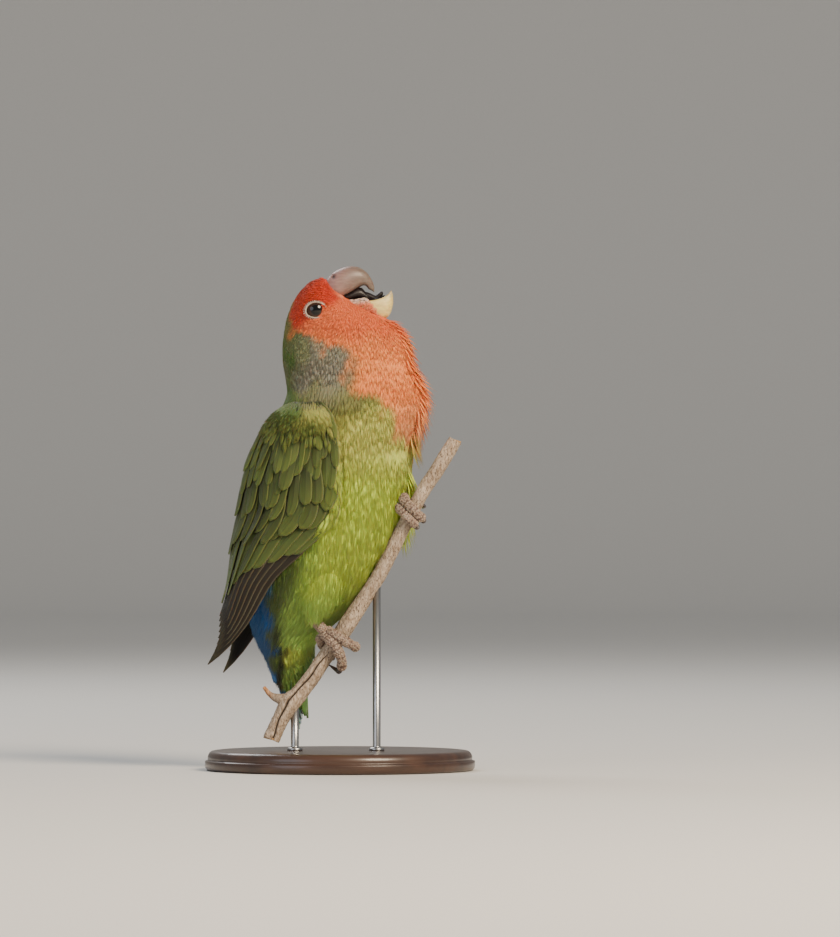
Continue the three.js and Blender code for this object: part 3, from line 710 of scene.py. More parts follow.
@dataclass(frozen=True)
class CoatForm:
    """The bird's outline from tail root to forehead, in level slices.

    Each level gives its height, backmost and foremost x, half width, fullest share and how pointed it is.
    """

    levels: Rows = (
        (40.7, -27.6, -10.2, 9.2, 0.5, 2), (46.3, -30.6, -8.1, 11.2, 0.5, 2),
        (51.8, -32.8, -3.6, 13.6, 0.5, 2), (57.4, -34.2, 3.0, 16.2, 0.5, 2),
        (62.9, -34.8, 9.8, 18.6, 0.49, 2), (70.3, -35, 15.8, 21, 0.48, 2), (77.7, -35, 20, 22.8, 0.48, 2),
        (85.1, -34.8, 23.4, 23.8, 0.47, 2.1), (92.5, -34.5, 25.8, 24.2, 0.47, 2.1),
        (99.9, -34, 27.1, 24.4, 0.47, 2.1), (107.3, -33.4, 27.4, 24.2, 0.47, 2.1),
        (114.7, -32.2, 27.2, 23.8, 0.47, 2.1), (120.3, -30.4, 27.6, 23, 0.47, 2),
        (125.8, -27.9, 29, 21.8, 0.46, 1.95), (129.5, -25.6, 30.3, 20.6, 0.46, 1.9),
        (133.2, -23.2, 31.4, 19.2, 0.45, 1.9), (136.9, -21.4, 31.8, 17.8, 0.44, 1.85),
        (140.6, -20.4, 31.6, 16.5, 0.43, 1.85), (144.3, -20.6, 30.5, 15.5, 0.43, 1.85),
        (148, -21.1, 28.6, 14.8, 0.43, 1.85), (151.7, -21.5, 27, 14.3, 0.43, 1.85),
        (155.4, -21.6, 26.4, 13.9, 0.43, 1.85), (159.1, -21.4, 25.4, 13.6, 0.43, 1.85),
        (162.8, -20.9, 23.4, 13.4, 0.43, 1.8), (166.5, -20.2, 19.6, 13.2, 0.43, 1.8),
        (168.7, -19.6, 15.6, 13, 0.44, 1.8), (170.9, -18.8, 11.2, 12.7, 0.45, 1.8),
        (173.2, -17.8, 6.8, 12.1, 0.46, 1.85), (175.4, -16.5, 2.8, 11.2, 0.48, 1.9),
        (177.6, -14.9, -0.2, 9.7, 0.5, 2), (179.5, -13.1, -2.1, 7.9, 0.5, 2),
        (181.3, -10.9, -3.6, 5.4, 0.5, 2), (182.4, -8.9, -4.9, 2.8, 0.5, 2)
    )

    def at(self, height: Array, turn: Array) -> Array:
        """Points on the coat.

        Args:
            height: Height of each point.
            turn: Angle of each point about the body, from the front.

        Returns:
            The points.
        """
        table = np.array(self.levels)
        back, front, half, full, nose = np.moveaxis(curve(table[:, 0], table[:, 1:], height), -1, 0)
        fullest = back + (front - back) * full
        c, s = np.cos(turn), np.sin(turn)
        power = np.where(c > 0, 2 / nose, 0.95)
        reach = np.where(c > 0, front - fullest, fullest - back)
        x = fullest + np.sign(c) * reach * np.abs(c) ** power
        return np.stack([x, BIRD_Y + half * np.sign(s) * np.abs(s) ** power, height + 0 * x], -1)

    def axis(self, height: Array) -> Array:
        """The middle of the body at each height."""
        table = np.array(self.levels)
        back, front = np.moveaxis(curve(table[:, 0], table[:, 1:3], height), -1, 0)
        return np.stack([back * 0.55 + front * 0.45, np.full_like(back, BIRD_Y), height], -1)


@dataclass(frozen=True)
class WingForm:
    """The folded wing's bowed sheet: place along it, back edge, front edge (x, z, across) and bow."""

    stations: Rows = (
        (0, -16.8, 134.4, 8, -5.6, 134.4, 17, 3.2), (0.15, -26.2, 126.6, 7.4, -1.6, 125.1, 20.6, 5.2),
        (0.3, -33, 111.7, 6.4, -0.6, 109.2, 22.8, 6.6), (0.45, -36, 96.2, 5.4, -2.2, 94.4, 23.6, 7),
        (0.6, -38.5, 81.4, 5, -12.6, 83.3, 24, 6.4), (0.75, -40.3, 65.9, 5.2, -25.2, 72.2, 21, 4.4),
        (0.88, -44.8, 51.8, 5.8, -35.9, 54.8, 14.5, 2.2), (1, -49.4, 40, 6.8, -48.4, 39.2, 8.6, 0.4)
    )
    droop_left: Pair = (5.2, -3.4)

    def flat(self, side: Side, u: Array, v: Array) -> Array:
        """Points on the sheet itself, at u along it and v over it."""
        table = np.array(self.stations)
        row = np.moveaxis(curve(table[:, 0], table[:, 1:], u), -1, 0)
        x, z, across = (mix(row[k], row[k + 3], v) for k in range(3))
        chord = unit(np.stack([row[3] - row[0], row[5] - row[2]], -1))
        bow = row[6] * 4 * v * (1 - v)
        droop = self.droop_left if side is Side.LEFT else (0.0, 0.0)
        away = side.value * (across + chord[..., 0] * bow)
        return np.stack([x - chord[..., 1] * bow + droop[0] * u**3, BIRD_Y + away, z + droop[1] * u**3], -1)

    def at(self, side: Side, u: Any, v: Any, height: Any) -> tuple[Array, Array, Array]:
        """Points over the sheet.

        Args:
            side: Which wing.
            u: Place along the sheet.
            v: Place over it, from back to front edge.
            height: Height over it.

        Returns:
            The points, the outward normals and the directions down the wing.
        """
        u, v, height = np.broadcast_arrays(*(np.asarray(k, float) for k in (u, v, height)))
        held = np.clip(u, 0.01, 0.99)
        down = (self.flat(side, held + 0.01, v) - self.flat(side, held - 0.01, v)) / 0.02
        spot = self.flat(side, held, v) + down * (u - held)[..., None]
        forward = self.flat(side, held, v + 0.01) - self.flat(side, held, v - 0.01)
        normal = unit(np.cross(down, forward)) * side.value
        normal = np.where(normal[..., 1:2] * side.value < 0, -normal, normal)
        return spot + normal * height[..., None], normal, unit(down)


@dataclass(frozen=True)
class TwigForm:
    """The twig's middle line, from its lower cut to its upper cut, as x, z and radius."""

    stations: Rows = (
        (-25.4, 11.6, 3.3), (-21.6, 19.6, 3.2), (-18.4, 25, 3.9), (-15.5, 27.8, 3.4), (-10, 35.1, 3.1),
        (-5.5, 41.8, 3), (-0.4, 49.2, 3), (3.3, 54.8, 3.3), (9.6, 64.4, 2.9), (13.3, 70.3, 2.8),
        (18.9, 80.7, 2.8), (24.3, 91.4, 2.7), (30.7, 103.2, 2.7), (36.3, 111.7, 2.8), (42.6, 122.1, 2.6)
    )

    def at(self, z: Any) -> tuple[Array, Array, Array, Array]:
        """The twig's middle, direction, bird side and radius at a height."""
        table = np.array(self.stations)
        z = np.asarray(z, float)

        def read(height: Array) -> Array:
            """The x and radius at a height."""
            return curve(table[:, 1], table[:, [0, 2]], height)

        here = read(z)
        line = unit(np.stack([read(z + 1)[..., 0] - read(z - 1)[..., 0], 0 * z, 0 * z + 2], -1))
        point = np.stack([here[..., 0], 0 * z + TWIG_Y, z], -1)
        inner = np.stack([-line[..., 2], 0 * z, line[..., 0]], -1)
        return point, line, inner, here[..., 1]


@dataclass(frozen=True)
class TailForm:
    """The tail's middle line and how it turns about it."""

    root: Pair = (-21.2, 50.0)
    tip: Pair = (-15.6, 11.2)
    drift: float = 1.5
    twist: float = 16.0

    def at(self, down: Any, out: Any, over: Any) -> tuple[Array, Array, Array, Array]:
        """Frames on the tail.

        Args:
            down: Share of the way from root to tip.
            out: Distance to the side.
            over: Distance over its top.

        Returns:
            The points, their normals, the tail's direction and the side direction.
        """
        down, out, over = np.broadcast_arrays(*(np.asarray(k, float) for k in (down, out, over)))
        run = np.array([self.tip[0] - self.root[0], self.drift, self.tip[1] - self.root[1]])
        line = unit(run)
        x, z = (mix(self.root[k], self.tip[k], down) for k in (0, 1))
        place = np.stack([x, BIRD_Y + self.drift * np.maximum(0, down), z], -1)
        flat = unit(np.array([0, 1.0, 0]) - line * line[1])
        top = unit(np.cross(line, flat))
        top = -top if top[0] > 0 else top
        turn = np.radians(self.twist * np.maximum(0, down))
        lines = np.broadcast_to(line, place.shape)
        side = turned(np.broadcast_to(flat, place.shape), lines, turn)
        normal = turned(np.broadcast_to(top, place.shape), lines, turn)
        return place + side * out[..., None] + normal * over[..., None], normal, lines, side


COAT = CoatForm()
SHEET = WingForm()
TWIG = TwigForm()
TAIL = TailForm()
MARKS = Markings()


class VanePress:
    """Shapes feathers by one rule from blanks that carry their spine, directions and width."""

    columns: tuple[float, ...] = (-1.0, -0.78, -0.45, -0.12, 0.0, 0.12, 0.45, 0.78, 1.0)

    def __init__(self) -> None:
        """Builds the node tree."""
        sizes = [("Camber", "Float", 0.0003), ("Thickness", "Float", 0.0003), ("Shaft", "Float", 0.00015)]
        tree, start = new_tree("Feather vane", [*sizes, ("Finish", "Material", None)])
        node, ends = partial(add_node, tree), start.outputs
        kinds = {"vane": "FLOAT_VECTOR", "across": "FLOAT_VECTOR", "up": "FLOAT_VECTOR", "wide": "FLOAT"}
        marks = {
            name: node("GeometryNodeInputNamedAttribute", {"data_type": kind}, {"Name": name})
            for name, kind in kinds.items()
        }
        part = node("SeparateXYZ", links={0: marks["vane"]}).outputs
        square = node("Math", "MULTIPLY", {0: part[0], 1: part[0]})
        body = node("Math", "SUBTRACT", {0: 1.0, 1: square})
        layer = node("Math", "MULTIPLY", {0: part[2], 1: body})
        layer = node("Math", "MULTIPLY", {0: layer, 1: ends["Thickness"]})
        # The shaft is a ridge over the middle tenth of the vane.
        near = node("Math", "SUBTRACT", {0: 0.012, 1: square})
        near = node("Math", "MAXIMUM", {0: near, 1: 0.0})
        ridge = node("Math", "MULTIPLY", {0: near, 1: 83.0})
        ridge = node("Math", "MULTIPLY", {0: ridge, 1: ends["Shaft"]})
        lift = node("Math", "MULTIPLY", {0: body, 1: ends["Camber"]})
        total = node("Math", "ADD", {0: layer, 1: ridge})
        total = node("Math", "ADD", {0: total, 1: lift})
        far = node("Math", "MULTIPLY", {0: part[0], 1: marks["wide"]})
        aside = node("VectorMath", "SCALE", {0: marks["across"], "Scale": far})
        above = node("VectorMath", "SCALE", {0: marks["up"], "Scale": total})
        offset = node("VectorMath", "ADD", {0: aside, 1: above})
        moved = node("GeometryNodeSetPosition", links={"Geometry": ends[0], "Offset": offset})
        self.tree = end_tree(tree, moved, ends["Finish"])

    def blanks(self, vanes: Sequence[Vane]) -> tuple[Array, Faces, dict[str, Array]]:
        """Closed blanks for feathers.

        Args:
            vanes: For each feather its path, across, up, wide and tint by station, and its chance and spot.

        Returns:
            The points, the faces and the attributes.
        """
        reach = np.array([*self.columns, *self.columns[-2:0:-1]])
        layer = np.array([0, *[1.0] * (len(self.columns) - 2), 0, *[-1.0] * (len(self.columns) - 2)])
        points, faces = [], []
        parts: dict[str, list[Array]] = {
            k: [] for k in ("across", "up", "wide", "vane", "tint", "chance", "spot")
        }
        start = 0
        for one in vanes:
            rows, sides = len(one["path"]), len(reach)
            share = np.linspace(0, 1, rows)
            points.append(np.repeat(one["path"], sides, axis=0))
            for key in ("across", "up", "tint"):
                parts[key].append(np.repeat(one[key], sides, axis=0))
            parts["wide"].append(np.repeat(one["wide"], sides) * MM)
            parts["vane"].append(
                np.stack([np.tile(reach, rows), np.repeat(share, sides), np.tile(layer, rows)], -1)
            )
            parts["chance"].append(np.full(rows * sides, one["chance"]))
            parts["spot"].append(np.tile(np.array([one["spot"]]), (rows * sides, 1)))
            faces += grid_faces(rows, sides, True, start)
            for end, flip in ((start, True), (start + (rows - 1) * sides, False)):
                ring = [end + k for k in range(sides)]
                faces.append(tuple(reversed(ring)) if flip else tuple(ring))
            start += rows * sides
        return np.vstack(points), faces, {k: np.concatenate(v) for k, v in parts.items()}

    def press(self, name: str, vanes: Sequence[Vane], material: Material, **sizes: float) -> Object:
        """Shapes one piece of many feathers.

        Args:
            name: The piece's name.
            vanes: The feathers.
            material: Their finish.
            sizes: Camber, Thickness and Shaft in millimetres.

        Returns:
            The plain piece.
        """
        points, faces, attributes = self.blanks(vanes)
        blank = make_piece(f"{name}_blank", points, faces, attributes)
        values: dict[str, Any] = {key: size * MM for key, size in sizes.items()}
        made = apply_tree(blank, self.tree, {**values, "Finish": material}, name)
        face_outwards(made)
        lay_patches(made)
        return made


def face_outwards(piece: Object) -> None:
    """Turns every closed shell of a piece to face out."""
    work = bmesh.new()
    work.from_mesh(piece.data)
    bmesh.ops.recalc_face_normals(work, faces=work.faces)
    work.to_mesh(piece.data)
    work.free()


def lay_patches(piece: Object) -> None:
    """Gives a coat piece its bake map: each feather is a small patch at its root's place."""
    mesh = piece.data
    count = len(mesh.vertices)

    def read(name: str) -> Array:
        """A vector attribute's values."""
        values = np.zeros(count * 3, np.float32)
        mesh.attributes[name].data.foreach_get("vector", values)
        return values.reshape(-1, 3)

    vane, spot = read("vane"), read("spot")
    u = spot[:, 0] + 0.003 * (0.5 * vane[:, 0])
    v = spot[:, 1] + 0.003 * (vane[:, 1] - 0.5)
    loops = np.zeros(len(mesh.loops), np.int32)
    mesh.loops.foreach_get("vertex_index", loops)
    layer = mesh.uv_layers.new(name="OFBake")
    layer.data.foreach_set("uv", np.stack([u[loops], v[loops]], -1).astype(np.float32).ravel())
    mesh.uv_layers.active = layer


class PlumeKind(Enum):
    """How a small body feather ends: the number of points at its tip, and how deep they are cut."""

    SOFT = (4, 0.55)
    RAGGED = (4, 0.62)


class BodyCoat:
    """The small feathers of head and body, scattered over the form and laid along it."""

    def __init__(self, finish: Material) -> None:
        """Builds the plume shapes and the node tree that plants them in one finish."""
        self.finish = finish
        self.shelves = {kind: self.shelf(kind) for kind in PlumeKind}
        self.tree = self.plant_tree()

    def shelf(self, kind: PlumeKind) -> Collection:
        """A collection of a few plumes of one kind."""
        made = bpy.data.collections.new(f"plumes_{kind.name.lower()}")
        rng = np.random.default_rng(11 + kind.value[0])
        for k in range(4):
            points, faces, vane = self.plume(kind, rng)
            one = make_piece(f"plume_{kind.name.lower()}_{k}", points / MM, faces, {"vane": vane})
            bpy.context.scene.collection.objects.unlink(one)
            made.objects.link(one)
        return made

    def plume(self, kind: PlumeKind, rng: np.random.Generator) -> tuple[Array, Faces, Array]:
        """One closed plume of length and width one, whose tip splits into barbs.

        Args:
            kind: How its tip ends.
            rng: The seeded source of its unevenness.

        Returns:
            Its points, its faces and the place of each point on the vane.
        """
        teeth, deep = kind.value
        lanes = np.linspace(-1, 1, teeth + 1)
        points, vane, faces = [(0.0, 0.0, 0.0)], [(0.0, 0.0, 0.0)], []
        index: dict[tuple[int, int, int], int] = {}
        for r, (y, half) in enumerate(((0.6 * (1 - deep), 0.38), (1 - deep, 0.5))):
            for c, lane in enumerate(lanes):
                arch = 0.08 * (1 - lane * lane) - 0.12 * y * y
                for layer in (0,) if c in (0, teeth) else (1, -1):
                    for one in (layer,) if layer else (1, -1):
                        index[(r, c, one)] = len(points)
                    points.append((lane * half, y - 0.05 * abs(lane), arch + 0.025 * layer))
                    vane.append((lane, y, float(layer)))
        for c in range(teeth):
            for layer in (1, -1):
                a, b, d, e = (index[(r, k, layer)] for r in (0, 1) for k in (c, c + 1))
                faces += [(b, a, 0)[::layer], (a, b, e, d)[::layer]]
        for c in range(teeth):
            middle = (lanes[c] + lanes[c + 1]) / 2
            y = 1 - 0.06 * abs(middle) - deep * 0.4 * rng.random()
            spread = 1.0 + 0.7 * deep * rng.standard_normal()
            tip = len(points)
            points.append((middle * 0.5 * spread, y, -0.12 * y * y + 0.05 * rng.standard_normal()))
            vane.append((middle, y, 0.0))
            faces += [(index[(1, c, layer)], index[(1, c + 1, layer)], tip)[::layer] for layer in (1, -1)]
            for lane, layer in ((c, 1), (c + 1, -1)):
                if lane not in (0, teeth):
                    faces.append((index[(1, lane, 1)], tip, index[(1, lane, -1)])[::layer])
        return np.array(points), faces, np.array(vane)

    @staticmethod
    def plant_tree() -> NodeTree:
        """The tree that scatters plumes on a form and lays them along its lie.

        Returns:
            The tree.
        """
        floats = {"Spacing": 0.001, "Length": 0.005, "Width": 0.002, "Lift": 0.2, "Scatter": 0.2}
        tree, start = new_tree(
            "Coat of plumes", [*((name, "Float", size) for name, size in floats.items()), ("Seed", "Int", 1),
                ("Plumes", "Collection", None), ("Finish", "Material", None)]
        )
        node, ends = partial(add_node, tree), start.outputs
        kinds = dict.fromkeys(("thick", "loose", "size", "broad"), "FLOAT")
        marks = {
            name: node("GeometryNodeInputNamedAttribute", {"data_type": kind}, {"Name": name})
            for name, kind in {**kinds, "out": "FLOAT_VECTOR", "lie": "FLOAT_VECTOR"}.items()
        }
        minus = node("Math", "MULTIPLY", {0: ends["Scatter"], 1: -1.0})
        spans = {
            "each": (0.0, 1.0, 3), "raise": (0.9, 1.12, 5), "roll": (-0.04, 0.04, 6),
            "swing": (minus, ends["Scatter"], 7), "long": (0.78, 1.2, 8)
        }
        chance = {
            name: node("FunctionNodeRandomValue", {"data_type": "FLOAT"}, {2: low, 3: high, 8: seed})
            for name, (low, high, seed) in spans.items()
        }
        points = node(
            "GeometryNodeDistributePointsOnFaces", {"distribute_method": "POISSON"},
            {"Mesh": ends["Geometry"], "Distance Min": ends["Spacing"], "Density Max": 6000000.0,
                "Density Factor": marks["thick"], "Seed": ends["Seed"]}
        )
        marked = node(
            "GeometryNodeStoreNamedAttribute", {"data_type": "FLOAT", "domain": "POINT"},
            {"Geometry": points, "Name": "chance", "Value": chance["each"]}
        )
        upright = node("FunctionNodeAlignRotationToVector", {"axis": "Z"}, {"Vector": marks["out"]})
        laid = node(
            "FunctionNodeAlignRotationToVector", {"axis": "Y", "pivot_axis": "Z"},
            {"Rotation": upright, "Vector": marks["lie"]}
        )
        lift = node("Math", "MULTIPLY", {0: ends["Lift"], 1: chance["raise"]})
        lift = node("Math", "ADD", {0: lift, 1: marks["loose"]})
        angles = node("CombineXYZ", links={0: lift, 1: chance["roll"], 2: chance["swing"]})
        tilt = node("FunctionNodeEulerToRotation", links={0: angles})
        held = node("FunctionNodeRotateRotation", {"rotation_space": "LOCAL"}, {0: laid, 1: tilt})
        long = node("Math", "MULTIPLY", {0: ends["Length"], 1: chance["long"]})
        long = node("Math", "MULTIPLY", {0: long, 1: marks["size"]})
        wide = node("Math", "MULTIPLY", {0: ends["Width"], 1: marks["broad"]})
        size = node("CombineXYZ", links={0: wide, 1: long, 2: wide})
        kinds = {"Collection": ends["Plumes"], "Separate Children": True, "Reset Children": True}
        plumes = node("GeometryNodeCollectionInfo", links=kinds)
        planted = node(
            "GeometryNodeInstanceOnPoints", links={"Points": marked, "Instance": plumes,
                "Pick Instance": True, "Rotation": held, "Scale": size}
        )
        return end_tree(tree, planted, ends["Finish"])

    def plant(
        self, name: str, form: Object, kind: PlumeKind, slot: str = "body_feathers", **sizes: float
    ) -> None:
        """Plants one piece of the coat.

        Args:
            name: The piece's name.
            form: The mesh that carries the marks, removed afterwards.
            kind: How the plumes end.
            slot: The record's material slot.
            sizes: Spacing, Length and Width in millimetres, Lift and Scatter in radians, and Seed.
        """
        sizes = {"Length": 9, "Width": 1.25, **sizes}
        values = {
            key: size * MM if key in ("Spacing", "Length", "Width") else size for key, size in sizes.items()
        }
        values.update(Plumes=self.shelves[kind], Finish=self.finish)
        made = apply_tree(form, self.tree, values, name)
        lay_patches(made)
        dress(made, self.finish, slot)


@dataclass
class Band:
    """A belt of the coat: its heights, plume kind, spacing, length, width, lift and scatter."""

    name: str
    low: float
    high: float
    kind: PlumeKind
    spacing: float
    length: float
    width: float
    lift: float
    scatter: float = 0.16
    seed: int = 1
    fringe: bool = False


@dataclass
class Body:
    """The bird's skin and the plumage over it, from the forehead to the vent."""

    depth: float = 1.15
    head_depth: float = 0.6
    bands: tuple[Band, ...] = (
        Band("plumage_crown", 165, 182.9, PlumeKind.SOFT, 0.5, 9, 1.2, 0.13, 0.14, 21),
        Band("plumage_face", 148, 165.6, PlumeKind.SOFT, 0.54, 9, 1.2, 0.12, 0.13, 22),
        Band("plumage_neck", 132, 148.6, PlumeKind.SOFT, 0.6, 9, 1.2, 0.12, 0.12, 23),
        Band("plumage_breast", 112, 132.6, PlumeKind.SOFT, 0.66, 9, 1.2, 0.11, 0.1, 24),
        Band("plumage_belly", 84, 112.6, PlumeKind.RAGGED, 0.7, 9, 1.25, 0.11, 0.1, 25),
        Band("plumage_flank", 62, 84.6, PlumeKind.RAGGED, 0.7, 9, 1.25, 0.11, 0.1, 26),
        Band("plumage_vent", 40.9, 62.6, PlumeKind.RAGGED, 0.7, 9, 1.25, 0.11, 0.1, 27),
        Band("fringe_throat", 120, 168, PlumeKind.RAGGED, 1.3, 13.5, 1.5, 0.4, 0.32, 28, True),
        Band("fringe_belly", 88, 112, PlumeKind.RAGGED, 1.6, 12, 1.3, 0.34, 0.3, 29, True)
    )
    thigh: Rows = (
        (-9.8, -10.7, 55.6, 1.9), (-8.9, -9.9, 58.4, 3.1), (-8.0, -8.9, 61.5, 4.7), (-6.4, -7.0, 67.2, 6.9),
        (-5.2, -5.2, 74.0, 7.6), (-4.6, -1.5, 83.0, 6.6), (-4.2, 3.0, 92.0, 4.0)
    )
    rows: int = 190
    columns: int = 180

    def obstacles(self) -> BVHTree:
        """What the skin stays inside of: the wings, the twig and the left foot's grip."""
        points: list[Array] = []
        faces: Faces = []
        count = 0
        for side in Side:
            u, v = np.meshgrid(np.linspace(-0.04, 1.02, 40), np.linspace(-0.02, 1.02, 24), indexing="ij")
            under = -mix(0.6, 1.4, np.clip(u, 0, 1))
            spots = SHEET.at(side, u, v, under)[0].reshape(-1, 3)
            faces += grid_faces(40, 24, False, count)
            points.append(spots)
            count += len(spots)
        z = np.linspace(13, 121, 90)
        middle, _, _, radius = TWIG.at(z)
        grip = 1.4 * np.exp(-(((z - 97) / 6.5) ** 4))
        rings = tube_rings(middle, radius + 0.7 + grip, 20)
        faces += grid_faces(90, 20, True, count)
        points.append(rings.reshape(-1, 3))
        return BVHTree.FromPolygons(np.vstack(points).tolist(), faces)

    def thigh_form(self) -> tuple[Array, Faces, dict[str, Array]]:
        """The feathered thigh that comes out of the body over the right shank.

        Returns:
            Its points, its faces and the attributes that plumes read.
        """
        path = np.array(self.thigh)
        fine = curve(np.linspace(0, 1, len(path)), path, np.linspace(0, 1, 30))
        rings = tube_rings(fine[:, :3], fine[:, 3], 30)
        points, faces = closed_rings(rings)
        middle = np.vstack([np.repeat(fine[:, :3], 30, axis=0), fine[:1, :3], fine[-1:, :3]])[: len(points)]
        out = unit(points - middle + np.array([0, -1e-4, 0]))
        way = unit(fine[0, :3] - fine[-1, :3])
        turn = np.arctan2(points[:, 1] - BIRD_Y, points[:, 0] + 10) / (2 * math.pi)
        z = points[:, 2]
        thick = smooth(55.2, 56.4, z) * smooth(86, 80, z)
        size = mix(0.42, 0.95, smooth(56, 68, z))
        spot = (turn % 1, (z - 40) / 143)
        attributes = plume_marks(MARKS.paint(points), out, along(way, out), thick, size, 0.85, spot)
        return points, faces, attributes

    def form(self) -> tuple[Array, Array, Array]:
        """The skin's points on a grid, from low to high and round from the front.

        Returns:
            The points, their outward normals, and the height and turn of each.
        """
        levels = np.concatenate([np.linspace(40.9, 160, 120), np.linspace(160.6, 182.4, self.rows - 120)])
        turns = np.linspace(0, 2 * math.pi, self.columns + 1)
        z, turn = np.meshgrid(levels, turns, indexing="ij")
        points = COAT.at(z.ravel(), turn.ravel()).reshape(z.shape + (3,))
        normal = self.normals(points)
        depth = mix(self.depth, self.head_depth, smooth(130, 160, z))
        points = points - normal * depth[..., None]
        axis = COAT.axis(levels)
        walls = self.obstacles()
        for i, middle in enumerate(axis):
            start = Vector(middle)
            for j in range(self.columns):
                spot = Vector(points[i, j])
                ray = spot - start
                length = ray.length
                ray.normalize()
                hit = walls.ray_cast(start, ray)
                if hit[0] is not None and hit[3] < length + 0.3:
                    length = max(hit[3] - 0.5, 1.0)
                points[i, j] = start + ray * length
        points[:, -1] = points[:, 0]
        for _ in range(3):
            wide = np.concatenate([points[:, -2:-1], points, points[:, 1:2]], 1)
            around = (wide[:, :-2] + wide[:, 2:]) / 2
            points = mix(points, around, 0.35)
            points[1:-1] = mix(points[1:-1], (points[:-2] + points[2:]) / 2, 0.35)
        return points, self.normals(points), np.stack([z, turn], -1)

    @staticmethod
    def normals(points: Array) -> Array:
        """Outward normals of a grid that runs up and round."""
        wide = np.concatenate([points[:, -2:-1], points, points[:, 1:2]], 1)
        around = wide[:, 2:] - wide[:, :-2]
        up = np.gradient(points, axis=0)
        return unit(np.cross(around, up))

    def lie(self, points: Array, normal: Array) -> Array:
        """The direction in which the coat lies at points of the form."""
        from_bill = unit(points - np.array([6.5, BIRD_Y, 177.5]))
        z = points[:, 2]
        down = unit(np.stack([-0.12 - 0.3 * smooth(90, 50, z), 0 * z, 0 * z - 1], -1))
        return along(mix(down, from_bill, smooth(150, 164, z)[:, None]), normal)

    def thickness(self, points: Array) -> Array:
        """How thickly plumes stand at points: none under wings, on bill, eyes or twig."""
        x, y, z = np.moveaxis(points.reshape(-1, 3), -1, 0)
        made = np.ones(len(x))
        eye = np.hypot(x + 8.9, (z - 170.2) * 1.08)
        made *= smooth(3.1, 3.6, eye)
        across = np.abs(y - BIRD_Y)
        top = np.interp(x, [-8, -5.5, -3.5, -1.0, 1.2, 3.5], [190, 181.6, 179.0, 175.6, 174.4, 173.8])
        made[(z > top) & (across < 5.2)] = 0
        low = np.interp(x, [2, 4.6, 8.6, 12.4, 15.8], [173.5, 171.2, 170, 168.6, 167])
        made[(z > low) & (across < 4.7) & (x > 1)] = 0
        inside = np.zeros(len(x), bool)
        front = np.interp(z, [54, 66, 76, 83, 94, 109, 125, 134], [-37, -29, -20, -15, -6, -4, -6, -12])
        inside |= (x < front) & (across > 9) & (z < 130) & (z > 56)
        made[inside] = 0
        middle, _, _, radius = TWIG.at(np.clip(z, 12, 122))
        away = np.hypot(x - middle[:, 0], y - TWIG_Y)
        made[away < radius + 0.9] = 0
        return made

    def build(self, coat: BodyCoat, skin: Material) -> None:
        """Builds the skin and every belt of plumage.

        Args:
            coat: Plants the plumes.
            skin: The skin's finish.
        """
        points, faces, attributes = self.thigh_form()
        shell = make_piece("skin_thigh", points, faces, {"tint": attributes["tint"]})
        dress(shell, skin, "body_feathers", "thigh_right")
        form = make_piece("thigh_form", points, faces, attributes)
        coat.plant("plumage_thigh", form, PlumeKind.RAGGED, Spacing=0.6, Lift=0.09, Scatter=0.1, Seed=33)
        points, normal, place = self.form()
        made, faces = closed_rings(points[:, :-1])
        shell = make_piece("skin", made, faces, {"tint": MARKS.paint(made)})
        dress(shell, skin, "body_feathers", "head", "neck", "torso")
        thick = self.thickness(points)
        z = place[..., 0]
        spot = (place[..., 1].ravel() / (2 * math.pi), (z.ravel() - 40) / 143)
        x, y = points[..., 0], np.abs(points[..., 1] - BIRD_Y)
        front = smooth(5, 0, COAT.at(z.ravel(), 0 * z.ravel())[:, 0].reshape(z.shape) - x)
        loose = 0.2 * front * smooth(116, 122, z) * smooth(170, 160, z)
        loose += 0.2 * front * smooth(88, 92, z) * smooth(108, 100, z)
        bill = np.hypot(x - 6, z - 175)
        heights = [40, 52, 70, 100, 118, 130, 140, 150, 160, 170, 183]
        size = np.interp(z, heights, [0.75, 0.95, 1, 1, 0.92, 0.8, 0.66, 0.52, 0.43, 0.34, 0.28])
        eye = np.hypot(x + 8.9, z - 170.2)
        size = size * mix(0.7, 1.0, smooth(4, 16, bill)) * mix(1.0, 0.7, smooth(7, 3.5, eye))
        drape = smooth(15, 6, np.hypot(x + 6, (z - 137.5) * 1.8)) * smooth(4, 8, y)
        size, loose = size * (1 + 0.7 * drape), loose + 0.1 * drape
        broad = np.interp(z, heights, [0.95, 1, 1, 1, 0.98, 0.92, 0.85, 0.78, 0.7, 0.6, 0.55]) + 0 * y
        size, broad, loose = (k.ravel() for k in (size, broad, loose))
        columns, points, normal = points.shape[1], points.reshape(-1, 3), normal.reshape(-1, 3)
        marks = plume_marks(
            MARKS.paint(points), normal, self.lie(points, normal), thick, size, broad, spot, loose
        )
        for band in self.bands:
            rows = np.where((z[:, 0] >= band.low) & (z[:, 0] <= band.high))[0]
            pick = (rows[:, None] * columns + np.arange(columns)).ravel()
            part = thick * (front.ravel() > 0.35) if band.fringe else thick
            attributes = {key: values[pick] for key, values in {**marks, "thick": part}.items()}
            faces = grid_faces(len(rows), columns, False)
            patch = make_piece(f"{band.name}_form", points[pick], faces, attributes)
            slot = "body_feathers" if band.high < 150 else "face_feathers"
            coat.plant(
                band.name, patch, band.kind, slot, Spacing=band.spacing, Length=band.length, Width=band.width,
                Lift=band.lift, Scatter=band.scatter, Seed=band.seed
            )


def breadth(outline: Sequence[Pair], share: Array) -> Array:
    """A feather's half width at shares of its length."""
    table = np.array(outline)
    return curve(table[:, 0], table[:, 1], share)


